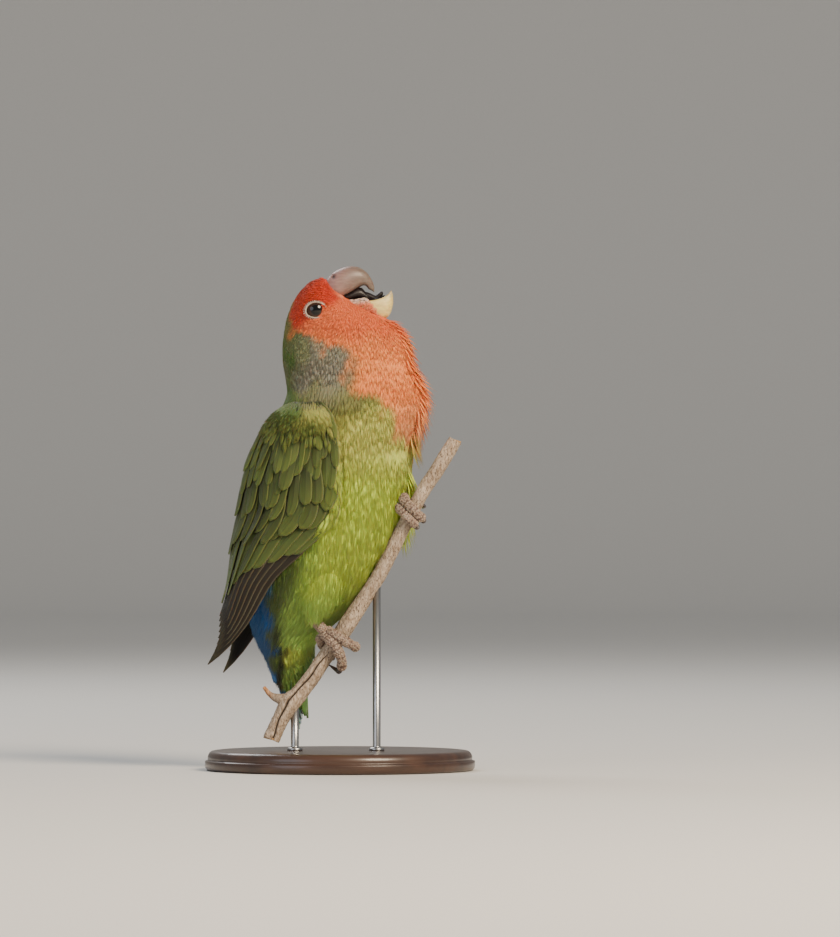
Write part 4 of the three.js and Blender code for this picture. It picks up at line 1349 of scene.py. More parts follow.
QUILL = ((0, 0.5), (0.25, 0.95), (0.6, 1.0), (0.85, 0.8), (0.95, 0.45), (1, 0.08))
BROAD = ((0, 0.5), (0.35, 0.95), (0.7, 1.0), (0.88, 0.86), (0.96, 0.55), (1, 0.12))
ROUND = ((0, 0.5), (0.5, 0.95), (0.75, 1.0), (0.9, 0.82), (0.97, 0.5), (1, 0.14))


@dataclass(frozen=True)
class Tier:
    """A tier of wing feathers: roots and tips along the wing, spread over it, rise, colours and outline."""

    name: str
    count: int
    half: float
    root: Pair
    tip: Pair
    spread: Pair
    rise: Pair
    base: str
    tipped: str
    roll: float = 9.0
    outline: Rows = ROUND


# The coverts' colours carry painted shade: the wing's own deep green, made darker still as the shade over the
# folded wing.
TIERS = tuple(Tier(*row) for row in (
    ("primaries", 9, 2.5, (0.5, 0.52), (0.84, 1.0), (0.1, 0.97), (0.7, 0.8), "#2c261c", "#1a1511", 6, QUILL),
    ("secondaries", 11, 3.0, (0.42, 0.4), (0.8, 0.63), (0.04, 0.97), (1.2, 1.5), "#323f18", "#4a5825", 8,
     BROAD),
    ("coverts_great", 11, 2.9, (0.36, 0.31), (0.62, 0.51), (0.04, 0.97), (1.5, 2.2), "#2a3413", "#434f1c"),
    ("coverts_middle", 12, 2.6, (0.28, 0.25), (0.48, 0.41), (0.04, 0.97), (1.7, 2.6), "#2b3613", "#48541e"),
    ("coverts_small_a", 13, 2.3, (0.22, 0.19), (0.39, 0.33), (0.06, 0.96), (1.9, 2.8), "#2d3915", "#4b5820"),
    ("coverts_small_b", 13, 2.1, (0.16, 0.13), (0.32, 0.27), (0.05, 0.95), (2.0, 2.9), "#303c16", "#4f5c22"),
    ("coverts_small_c", 13, 1.9, (0.11, 0.08), (0.25, 0.21), (0.06, 0.95), (2.0, 2.9), "#333f18", "#535f24"),
    ("coverts_small_d", 12, 1.8, (0.05, 0.03), (0.185, 0.15), (0.06, 0.93), (1.8, 2.8), "#384419", "#596427"),
    ("coverts_small_e", 11, 1.7, (-0.01, -0.02), (0.125, 0.1), (0.07, 0.92), (1.5, 2.5), "#3d491c", "#626c2c"),
))


@dataclass
class Wing:
    """A folded wing: its arm under the coverts and every tier of feathers."""

    side: Side
    arm_thick: tuple[float, ...] = (1.8, 2.4, 2.2, 1.5, 0.7)
    tiers: tuple[Tier, ...] = TIERS
    mantle_high: float = 3.5
    stations: int = 16

    def arm(self) -> tuple[Array, Faces]:
        """The slab under the coverts."""
        u = np.linspace(0, 0.675, 26)
        v = np.linspace(0.0, 1.0, 18)
        thick = curve(np.linspace(0, 1, 5), list(self.arm_thick), u / 0.675)
        uu, vv = np.meshgrid(u, v, indexing="ij")
        soft = np.clip(4.5 * np.sqrt(vv * (1 - vv)), 0.12, 1)
        upper = SHEET.at(self.side, uu, vv, thick[:, None] * soft * 0.92)[0]
        lower = SHEET.at(self.side, uu, vv, 0.0)[0]
        rings = np.concatenate([upper, lower[:, ::-1]], 1)
        return closed_rings(rings)

    def feathers(self, tier: Tier, rng: np.random.Generator) -> list[Vane]:
        """The feathers of one tier, as paths for the vane press.

        Args:
            tier: The tier.
            rng: The seeded source of its unevenness.

        Returns:
            One dictionary for each feather.
        """
        made = []
        for k, over in enumerate(np.linspace(*tier.spread, tier.count)):
            share = k / (tier.count - 1)
            loose = 0.0 if tier.outline is QUILL else float(mix(0.2, 1.0, smooth(0.0, 0.2, share)))
            start = mix(*tier.root, share)
            stop = mix(*tier.tip, share) + 0.017 * loose * rng.standard_normal()
            s = np.linspace(0, 1, self.stations)
            lift = 0.5 * (1 - share) * np.minimum(1, 2 * s)
            height = mix(*tier.rise, s) + lift + 0.4 * loose * rng.standard_normal() * s
            drift = np.clip(over + 0.03 * loose * rng.standard_normal() * s, 0.035, 0.975)
            path, normal, down = SHEET.at(self.side, mix(start, stop, s), drift, height)
            edge = unit(np.cross(normal, down)) * -self.side.value
            turn = math.radians(tier.roll + 8.5 * loose * rng.standard_normal())
            across = edge * math.cos(turn) + normal * math.sin(turn)
            up = normal * math.cos(turn) - edge * math.sin(turn)
            wide = tier.half * breadth(tier.outline, s) * (1 + 0.1 * loose * rng.standard_normal())
            notch = np.maximum(0, np.sin(s * 11 + 6 * rng.random())) * s
            wide = wide * (1 - 0.08 * loose * notch * rng.random())
            tint = mix(linear(tier.base), linear(tier.tipped), s[:, None])
            tint = tint * max(0.6, 1 + 0.16 * loose * rng.standard_normal())
            one = {
                "path": path, "across": across, "up": up, "wide": wide, "tint": tint, "chance": rng.random()
            }
            spot = [0.5 + 0.3 * self.side.value * mix(0.3, 1, over), 0.1 + 0.8 * (1 - stop), 0.0]
            made.append({**one, "spot": spot})
        return made

    def mantle(self) -> Object:
        """The form that small body plumes grow from over the shoulder and the top of the wing."""
        u, v = np.meshgrid(np.linspace(-0.06, 0.62, 84), np.linspace(-0.02, 1.02, 60), indexing="ij")
        soft = np.clip(3.0 * np.sqrt(np.clip(v * (1.02 - v), 0, 1)), 0.0, 1)
        high = self.mantle_high * soft * smooth(-0.09, 0.04, u)
        points, normal, down = (k.reshape(-1, 3) for k in SHEET.at(self.side, u, v, high))
        u, v = u.ravel(), v.ravel()
        tint = MARKS.paint(points)
        ragged = 0.03 * ripple(points, 3.0, 4)
        front = smooth(0.9, 1.0, v + 1.5 * ragged)
        margin = smooth(0.95, 0.98, v + 0.5 * ragged)
        covered = np.maximum(smooth(0.2, 0.08, u + ragged), margin * smooth(0.52, 0.46, u + ragged))
        fade = (smooth(0.05, 0.16, u) * (1 - 0.75 * front))[:, None]
        tint = mix(tint, linear("#596427"), fade)
        thick = covered * smooth(-0.03, 0.01, u) * smooth(0.0, 0.05, v)
        spot = (0.5 + 0.3 * self.side.value * v, 0.62 + 0.2 * (0.2 - u))
        attributes = plume_marks(tint, normal, down, thick, mix(0.66, 0.95, smooth(0.1, 0.3, u)), 1.05, spot)
        faces = grid_faces(84, 60, False)
        if self.side is Side.RIGHT:
            faces = [f[::-1] for f in faces]
        return make_piece(f"mantle_{self.side.word}_form", points, faces, attributes)

    def build(
        self, press: VanePress, coat: BodyCoat, arm: Material, quill: Material, covert: Material
    ) -> None:
        """Builds the wing's pieces.

        Args:
            press: Shapes the vanes.
            coat: Plants the plumes of the shoulder.
            arm: Finish of the arm.
            quill: Finish of the primaries.
            covert: Finish of the other tiers.
        """
        word = self.side.word
        points, faces = self.arm()
        tint = mix(linear("#323d18"), MARKS.paint(points), smooth(114, 122, points[:, 2])[:, None])
        piece = make_piece(f"wing_{word}_arm", points, faces, {"tint": tint})
        dress(piece, arm, "wing_feathers", f"wing_{word}")
        rng = np.random.default_rng(40 + self.side.value)
        for tier in self.tiers:
            finish = quill if tier.outline is QUILL else covert
            vanes = self.feathers(tier, rng)
            made = press.press(
                f"wing_{word}_{tier.name}", vanes, finish, Camber=0.16, Thickness=0.26, Shaft=0.1
            )
            dress(made, finish, "wing_feathers")
        name = f"wing_{word}_mantle"
        coat.plant(name, self.mantle(), PlumeKind.SOFT, Spacing=0.7, Lift=0.1, Scatter=0.14, Seed=31)


@dataclass
class Tail:
    """The tail: its core, the tail feathers, blue coverts over them and green coverts under them."""

    pairs: int = 6
    half: float = 3.0
    core: Rows = (
        (-0.04, 8.6, 11.4, 10.4), (0.14, 7.0, 9.6, 9.0), (0.34, 4.6, 6.8, 7.2), (0.54, 2.2, 3.8, 5.6),
        (0.7, 0.8, 1.4, 4.0)
    )
    rows: Rows = (
        (8, 0.04, 0.66, 5.6, 1, 4.8, 2.6, 2.8), (10, -0.14, 0.46, 8.4, 1, 8.2, 5.2, 2.9),
        (7, 0.12, 0.8, 5.2, -1, 7.4, 4.0, 2.4), (8, -0.1, 0.52, 8.6, -1, 11.4, 7.2, 2.7),
        (8, -0.22, 0.26, 9.2, -1, 12.6, 9.4, 2.6)
    )

    def vanes(self, rng: np.random.Generator) -> list[Vane]:
        """The tail feathers, the middle pair on top."""
        made = []
        s = np.linspace(0, 1, 14)
        green, tip = linear("#5fae50"), linear("#bfe0de")
        for pair in range(self.pairs):
            for side in (-1, 1):
                down = mix(0.3, 1 - 1.7 * pair / 38.8, s)
                out = side * (0.5 + pair * (0.85 + 0.6 * (down - 0.3)))
                over = 0.9 - 0.5 * pair - (0.25 if side > 0 else 0)
                path, normal, line, across = TAIL.at(down, out, over)
                wide = self.half * breadth(BROAD, s)
                tint = mix(green, tip, smooth(0.66, 0.9, s)[:, None])
                if pair == self.pairs - 1:
                    tint = tint * np.array([0.25, 0.25, 0.25, 1])
                made.append(self.one(path, across, normal, wide, tint, rng, 0.12))
        return made

    @staticmethod
    def one(path: Array, across: Array, up: Array, wide: Array, tint: Array, rng: Any, v: float) -> Vane:
        """One feather for the vane press."""
        tint = tint * (1 + 0.08 * rng.standard_normal())
        one = {"path": path, "across": across, "up": up, "wide": wide, "tint": tint, "chance": rng.random()}
        return {**one, "spot": [0.5 + 0.3 * rng.random(), v + 0.05 * rng.random(), 0.0]}

    def coverts(self, row: tuple[float, ...], rng: np.random.Generator) -> list[Vane]:
        """One row of coverts over or under the tail root."""
        count, root, tip, spread, side, high, low, half = row
        made = []
        s = np.linspace(0, 1, 12)
        for share in np.linspace(-1, 1, int(count)):
            angle = share * 1.25
            height = mix(high, low, s) * math.cos(angle) + 0.35 * s
            out = mix(spread, spread * 0.62, s) * math.sin(angle)
            down = mix(root, tip - 0.1 * share * share + 0.02 * rng.standard_normal(), s)
            path, normal, line, across = TAIL.at(down, out, side * height)
            up = unit(normal * side + across * 0.8 * math.sin(angle))
            edge = unit(np.cross(line, up))
            wide = half * breadth(BROAD, s)
            codes = ("#0e4f88", "#14639f") if side > 0 else ("#63883a", "#557f3a")
            tint = mix(linear(codes[0]), linear(codes[1]), s[:, None])
            made.append(self.one(path, edge, up, wide, tint, rng, 0.05))
        return made

    def rings(self) -> tuple[Array, Array]:
        """The rings of the tail's core and how far down each one is."""
        angles = circle(32)
        rings = []
        for at, top, under, half in self.core:
            over = np.where(np.cos(angles) > 0, top, under) * np.cos(angles)
            rings.append(TAIL.at(at, half * np.sin(angles), over)[0])
        down = np.linspace(-0.04, 0.7, 30)
        fine = curve([row[0] for row in self.core], np.array(rings).reshape(len(rings), -1), down)
        return fine.reshape(30, 32, 3), down

    def root_form(self) -> Object:
        """The form of the soft plumes over the tail's root."""
        rings, down = self.rings()
        points = rings.reshape(-1, 3)
        share = np.repeat(down, 32)
        line = TAIL.at(0.5, 0.0, 0.0)[2]
        out = unit(points - np.repeat(rings.mean(axis=1), 32, axis=0))
        out = unit(out - line * (out @ line)[:, None])
        thick = smooth(0.46, 0.34, share + 0.05 * ripple(points, 2.5, 6))
        spot = (np.tile(np.arange(32) / 32, 30), 0.12 - 0.1 * share)
        lie = np.tile(line, (len(points), 1))
        attributes = plume_marks(MARKS.paint(points), out, lie, thick, 0.72, 1.0, spot)
        return make_piece("tail_root_form", points, faces_out(points, grid_faces(30, 32)), attributes)

    def build(self, press: VanePress, coat: BodyCoat, skin: Material, finish: Material) -> None:
        """Builds the tail's pieces.

        Args:
            press: Shapes the vanes.
            coat: Plants the plumes of the tail's root.
            skin: Finish of the core.
            finish: Finish of the vanes.
        """
        points, faces = closed_rings(self.rings()[0])
        dress(
            make_piece("tail_core", points, faces, {"tint": MARKS.paint(points)}), skin, "tail_feathers",
            "tail"
        )
        form = self.root_form()
        coat.plant("plumage_tail_root", form, PlumeKind.RAGGED, Spacing=0.66, Lift=0.09, Scatter=0.1, Seed=35)
        rng = np.random.default_rng(77)
        made = press.press("tail_feathers", self.vanes(rng), finish, Camber=0.3, Thickness=0.3, Shaft=0.12)
        dress(made, finish, "tail_feathers")
        for name, rows in (("tail_coverts_upper", self.rows[:2]), ("tail_coverts_under", self.rows[2:])):
            vanes = [one for row in rows for one in self.coverts(row, rng)]
            made = press.press(name, vanes, finish, Camber=0.45, Thickness=0.3, Shaft=0.05)
            dress(made, finish, "tail_feathers")


@dataclass
class Bill:
    """Upper and lower bill, and the tongue between them."""

    upper: Rows = (
        (-6.6, 179.6, -0.9, 174.2, 4.6), (-4.6, 182.3, 1.3, 175.2, 5.2), (-2.2, 184.5, 3.3, 176.3, 5.1),
        (0.7, 186, 5.5, 177.6, 4.7), (3.9, 186.6, 7.4, 178.9, 4.1), (7, 186.2, 8.9, 179.4, 3.4),
        (9.8, 184.4, 9.8, 179, 2.6), (11.7, 181.6, 10.5, 178.1, 1.7), (12.6, 179.2, 11.6, 177.6, 0.9),
        (12.62, 177.1, 12.58, 176.95, 0.12)
    )
    lower: Rows = (
        (2.2, 174.2, 4.6, 170.4, 4), (4.6, 174.4, 8.6, 169.4, 4.6), (8, 175, 12.4, 167.9, 4.8),
        (11.4, 175.5, 15.8, 167, 4.6), (14.6, 176.1, 18.3, 168.6, 4), (17.2, 177, 19.5, 172.2, 3.1),
        (18.8, 177.9, 19.6, 176, 2)
    )
    tongue: Rows = (
        (4.6, 176.4, 1), (7.4, 176.5, 1.6), (10.2, 175.8, 1.8), (12.8, 174.8, 1.75), (14.6, 175.9, 1.55),
        (15.7, 177.2, 1.25)
    )
    nostril: tuple[float, float, float] = (-2.6, 182.6, 0.85)
    lining: Rows = (
        (0.6, 173.8, 175.6, 3.2, 0), (2.4, 173.8, 176.4, 3.6, 0.1), (4.4, 174.0, 177.6, 3.4, 0.2),
        (6.2, 174.2, 178.8, 3.0, 0.3), (7.8, 174.4, 178.6, 2.6, 0.3), (9.6, 174.2, 176.6, 2.2, 0.2),
        (11.6, 174.0, 175.4, 1.6, 0)
    )
    trough: Rows = (
        (1.5, 171.8, 173.4, 2.6, 0), (3.0, 171.8, 173.6, 3.3, 0), (6.0, 171.6, 174.0, 3.8, 0),
        (9.0, 171.4, 174.4, 4.0, 0), (12.0, 171.6, 174.9, 3.8, 0), (14.5, 172.0, 175.3, 3.3, 0),
        (16.5, 173.4, 176.0, 2.3, 0)
    )

    def horn(self, slices: Rows, trough: bool) -> tuple[Array, Faces]:
        """A horn of slices in the middle plane.

        Args:
            slices: Ridge point, edge point and half width of each slice.
            trough: Whether its upper side is hollowed.

        Returns:
            The points and the faces.
        """
        share = np.linspace(0, 1, len(slices))
        fine = np.linspace(0, 1, 56)
        table = curve(share, np.array(slices), fine)
        angles = circle(48)
        c, s = np.cos(angles), np.sin(angles)
        rings = []
        for at, (rx, rz, ex, ez, half) in zip(fine, table):
            middle, up = np.array([(rx + ex) / 2, (rz + ez) / 2]), np.array([(rx - ex) / 2, (rz - ez) / 2])
            rise = c.copy()
            if trough:
                dip = 1.3 * float(smooth(0.05, 0.3, at)) * (1 - 0.5 * float(smooth(0.8, 1, at)))
                high = np.maximum(c, 0)
                rise = np.where(c > 0, high**0.5 - dip * high**4, c)
            flank = np.sign(s) * np.abs(s) ** 0.8
            ring = np.stack([middle[0] + up[0] * rise, BIRD_Y + half * flank, middle[1] + up[1] * rise], -1)
            if not trough:
                nx, nz, radius = self.nostril
                for sign in (-1, 1):
                    away = np.hypot(ring[:, 0] - nx, ring[:, 2] - nz) / radius
                    near = np.exp(-(away**4)) * (np.sign(ring[:, 1] - BIRD_Y) == sign)
                    ring[:, 1] -= sign * 0.9 * near
            rings.append(ring)
        return closed_rings(np.array(rings))

    def gape_form(self) -> Object:
        """The form of the short plumes that cover the root of the lower bill."""
        share = np.linspace(0, 1, len(self.lower))
        reach = np.linspace(0.02, 0.66, 44)
        table = curve(share, np.array(self.lower), reach)
        angles = np.radians(np.linspace(30, 330, 52))
        c, s = np.cos(angles), np.sin(angles)
        rise = np.where(c > 0, np.maximum(c, 0) ** 0.5, c)
        flank = np.sign(s) * np.abs(s) ** 0.8
        ridge, edge, half = table[:, None, 0:2], table[:, None, 2:4], table[:, None, 4]
        middle = (ridge + edge) / 2
        spots = middle + (ridge - edge) / 2 * rise[None, :, None]
        points = np.stack([spots[..., 0], BIRD_Y + (half + 0.08) * flank, spots[..., 1]], -1)
        out = unit(np.cross(np.gradient(points, axis=1), np.gradient(points, axis=0)))
        centre = np.stack([middle[..., 0], 0 * middle[..., 0] + BIRD_Y, middle[..., 1]], -1)
        out *= np.sign(np.sum(out * (points - centre), axis=-1, keepdims=True))
        flat, normal = points.reshape(-1, 3), out.reshape(-1, 3)
        way = np.array([-0.75, 0.0, -1.0])
        x, z = flat[:, 0], flat[:, 2]
        bound = 10.2 + (175.4 - z) * 0.82
        rim = smooth(2.3, 0.7, np.interp(x, [2.2, 8, 14.6], [174.2, 175, 176.1]) - z)
        tint = mix(MARKS.paint(flat), linear("#f6a080"), 0.45)
        tint = wash(tint, "#f8d2bf", 0.85 * rim)
        thick = smooth(0.25, -0.35, x - bound + 0.35 * ripple(flat, 0.9, 7))
        spot = (np.tile(angles / (2 * math.pi), 44), np.repeat(reach, 52))
        attributes = plume_marks(tint, normal, along(way, normal), thick, 0.24, 0.46, spot)
        return make_piece("gape_form", flat, grid_faces(44, 52, False), attributes)

    def build(self, coat: BodyCoat, horn: Material, flesh: Material) -> None:
        """Builds both horns, the plumes at their root and the tongue.

        Args:
            coat: Plants the plumes.
            horn: Finish of the upper and the lower bill.
            flesh: Finish of the tongue, and painted shade on the mouth's lining and floor.
        """
        coat.plant(
            "plumage_gape", self.gape_form(), PlumeKind.SOFT, "face_feathers", Spacing=0.33, Width=1.2,
            Lift=0.1, Scatter=0.14, Seed=36
        )
        points, faces = self.horn(self.upper, False)
        x, z = points[:, 0], points[:, 2]
        base, dark = linear("#9a807c"), linear("#7f7268")
        tint = mix(base, dark, smooth(-3, 9, x)[:, None])
        tint = mix(tint, linear("#9c7d7c"), smooth(0.5, -2.5, x - 0.55 * (z - 181))[:, None] * 0.7)
        nx, nz, radius = self.nostril
        away = np.hypot(x - nx, z - nz) / radius
        # Painted shade: the nostril is darkened, as the shade inside its hole.
        hole = smooth(1.1, 0.55, away) * smooth(2.2, 3.0, abs(points[:, 1] - BIRD_Y))
        tint = wash(tint, "#3a2623", hole)
        # Painted shade: the inside of the upper bill along its cutting edge is darkened, as the shade in the
        # mouth.
        under = smooth(0.9, 0.2, (z - np.interp(x, [-0.9, 3.3, 7.4, 9.8], [174.2, 176.3, 178.9, 179])) / 0.8)
        under = under * smooth(11.2, 9.5, x) * smooth(4.2, 3.2, abs(points[:, 1] - BIRD_Y))
        tint = wash(tint, "#4c3530", under)
        dress(make_piece("bill_upper_horn", points, faces, {"tint": tint}), horn, "horn", "bill_upper")
        points, faces = self.horn(self.lower, True)
        x, z = points[:, 0], points[:, 2]
        tint = np.tile(linear("#efe08e"), (len(points), 1))
        # Painted shade: the inside of the lower bill's trough is darkened, as the shade in the mouth.
        ridge = np.interp(x, [2.2, 8, 14.6, 18.8], [174.2, 175, 176.1, 177.9])
        inner = smooth(3.6, 2.4, abs(points[:, 1] - BIRD_Y))
        inner *= smooth(-2.6, -1.4, z - ridge) * smooth(19.2, 17.5, x)
        tint = wash(tint, "#3f2c28", inner)
        tint = wash(tint, "#b5a78a", smooth(16.5, 19.5, x) * smooth(174, 177, z) * 0.7)
        dress(make_piece("bill_lower_horn", points, faces, {"tint": tint}), horn, "horn", "bill_lower")
        # The mouth's lining and floor are nearly black sheets: painted shade that fills the gape round the
        # tongue.
        angles = circle(24)
        for name, table in (("mouth_lining", self.lining), ("mouth_floor", self.trough)):
            rings = []
            for x, low, high, half, lean in table:
                rise = (low + high) / 2 + (high - low) / 2 * np.cos(angles)
                ring = [x + lean * 1.2 * np.cos(angles), BIRD_Y + half * np.sin(angles), rise]
                rings.append(np.stack(ring, -1))
            points, faces = closed_rings(np.array(rings))
            dress(make_piece(name, points, faces), flesh, "tongue")
        table = np.array(self.tongue)
        path = np.stack([table[:, 0], np.full(len(table), BIRD_Y), table[:, 1]], -1)
        fine, radii = rounded(path, table[:, 2], 30)
        points, faces = closed_rings(tube_rings(fine, radii, 20, 0.62))
        dress(make_piece("tongue_flesh", points, faces), flesh, "tongue", "tongue")


@dataclass
class Eye:
    """A glass eye in its ring of bare beaded skin."""

    side: Side
    place: tuple[float, float, float] = (-8.9, 8.5, 170.2)
    radius: float = 4.4
    ring: float = 3.3
    width: float = 0.34
    beads: int = 34

    def build(self, glass: Material, skin: Material, tree: NodeTree) -> None:
        """Builds the eyeball, its lids and the beads round them.

        Args:
            glass: Finish of the eyeball.
            skin: Finish of the bare ring.
            tree: Plants beads on points.
        """
        sign, word = self.side.value, self.side.word
        middle = np.array([self.place[0], BIRD_Y + sign * self.place[1], self.place[2]])
        latitudes = np.linspace(0.02, math.pi - 0.02, 34)
        turns = circle(56)
        rings = []
        for a in latitudes:
            high = np.full(56, math.cos(a))
            ring = np.stack([math.sin(a) * np.cos(turns), high, math.sin(a) * np.sin(turns)], -1)
            rings.append(middle + self.radius * ring)
        rings = np.array(rings)
        points, faces = closed_rings(rings)
        dress(make_piece(f"eye_{word}_glass", points, faces), glass, "eye", f"eye_{word}")
        a, over = circle(14), np.array([0, sign, 0])
        rings = []
        for spot in self.rim(72):
            outward = unit((spot - middle) * [1, 0, 1])
            rings.append(spot + self.width * (np.outer(np.cos(a), outward) + np.outer(np.sin(a), over)))
        rings = np.array(rings)
        count = rings.shape[1]
        points = rings.reshape(-1, 3)
        faces = grid_faces(72, count) + [
            (71 * count + c, 71 * count + (c + 1) % count, (c + 1) % count, c) for c in range(count)
        ]
        piece = make_piece(f"eye_{word}_lid", points, faces_out(points, faces))
        face_outwards(piece)
        dress(piece, skin, "eye")
        spots = np.vstack([self.rim(self.beads) + [0, sign * 0.3, 0], self.rim(self.beads, 1.17)])
        seeds = make_piece(f"beads_{word}", spots, [])
        made = apply_tree(seeds, tree, {"Radius": 0.22 * MM, "Finish": skin}, f"eye_{word}_beads")
        dress(made, skin, "eye")

    def rim(self, count: int, grow: float = 1.0) -> Array:
        """Points round the lids.

        Args:
            count: How many points.
            grow: Share of the ring's own size.

        Returns:
            The points.
        """
        a = circle(count)
        corners = np.maximum(0, np.cos(a - 0.25)) ** 6 + np.maximum(0, np.cos(a - 3.7)) ** 6
        long = self.ring * grow * (1 + 0.1 * corners)
        x, z = long * np.cos(a) * 1.1, long * np.sin(a) * 0.88
        flat = np.hypot(x, z) / self.radius
        rise = self.radius * np.sqrt(np.clip(1 - np.minimum(flat, 0.92) ** 2, 0.1, 1))
        y = BIRD_Y + self.side.value * (self.place[1] + np.maximum(rise, 3.2) + 0.05)
        return np.stack([self.place[0] + x, y, self.place[2] + z], -1)


def bead_tree() -> NodeTree:
    """A tree that puts a small round bead on every point."""
    tree, start = new_tree("Skin beads", [("Radius", "Float", 0.0003), ("Finish", "Material", None)])
    node = partial(add_node, tree)
    bead = node("GeometryNodeMeshIcoSphere", links={"Radius": start.outputs["Radius"], "Subdivisions": 2})
    size = node("FunctionNodeRandomValue", {"data_type": "FLOAT"}, {2: 0.75, 3: 1.15, 8: 4})
    planted = node(
        "GeometryNodeInstanceOnPoints", links={"Points": start.outputs[0], "Instance": bead, "Scale": size}
    )
    smoothed = node("GeometryNodeSetShadeSmooth", links={0: planted})
    return end_tree(tree, smoothed, start.outputs["Finish"])


def scute_tree() -> NodeTree:
    """A tree that covers a toe with small flat scutes.

    Returns:
        The tree.
    """
    sizes = [("Spacing", "Float", 0.0006), ("Radius", "Float", 0.0003), ("Seed", "Int", 3)]
    tree, start = new_tree("Toe scutes", [*sizes, ("Finish", "Material", None)])
    node, ends = partial(add_node, tree), start.outputs
    thick = node("GeometryNodeInputNamedAttribute", {"data_type": "FLOAT"}, {"Name": "thick"})
    points = node(
        "GeometryNodeDistributePointsOnFaces", {"distribute_method": "POISSON"},
        {"Mesh": ends["Geometry"], "Distance Min": ends["Spacing"], "Density Max": 9000000.0,
            "Density Factor": thick, "Seed": ends["Seed"]}
    )
    bead = node("GeometryNodeMeshIcoSphere", links={"Radius": ends["Radius"], "Subdivisions": 2})
    bead = node(
        "GeometryNodeStoreNamedAttribute", {"data_type": "FLOAT_COLOR", "domain": "POINT"},
        {"Geometry": bead, "Name": "tint", "Value": linear("#c0b2a6")}
    )
    turn, flat = points.outputs["Rotation"], (1.0, 1.0, 0.42)
    planted = node(
        "GeometryNodeInstanceOnPoints", links={"Points": points, "Instance": bead, "Rotation": turn,
            "Scale": flat}
    )
    smoothed = node("GeometryNodeSetShadeSmooth", links={0: planted})
    join = node("GeometryNodeJoinGeometry", links={0: ends["Geometry"]})
    tree.links.new(smoothed.outputs[0], join.inputs[0])
    return end_tree(tree, join, ends["Finish"])


@dataclass(frozen=True)
class Toe:
    """A toe: which way it curls, its reach in degrees, its drift along the twig, and how it stands off."""

    curl: int
    reach: float
    drift: Pair
    late: float
    off: float
    radius: float


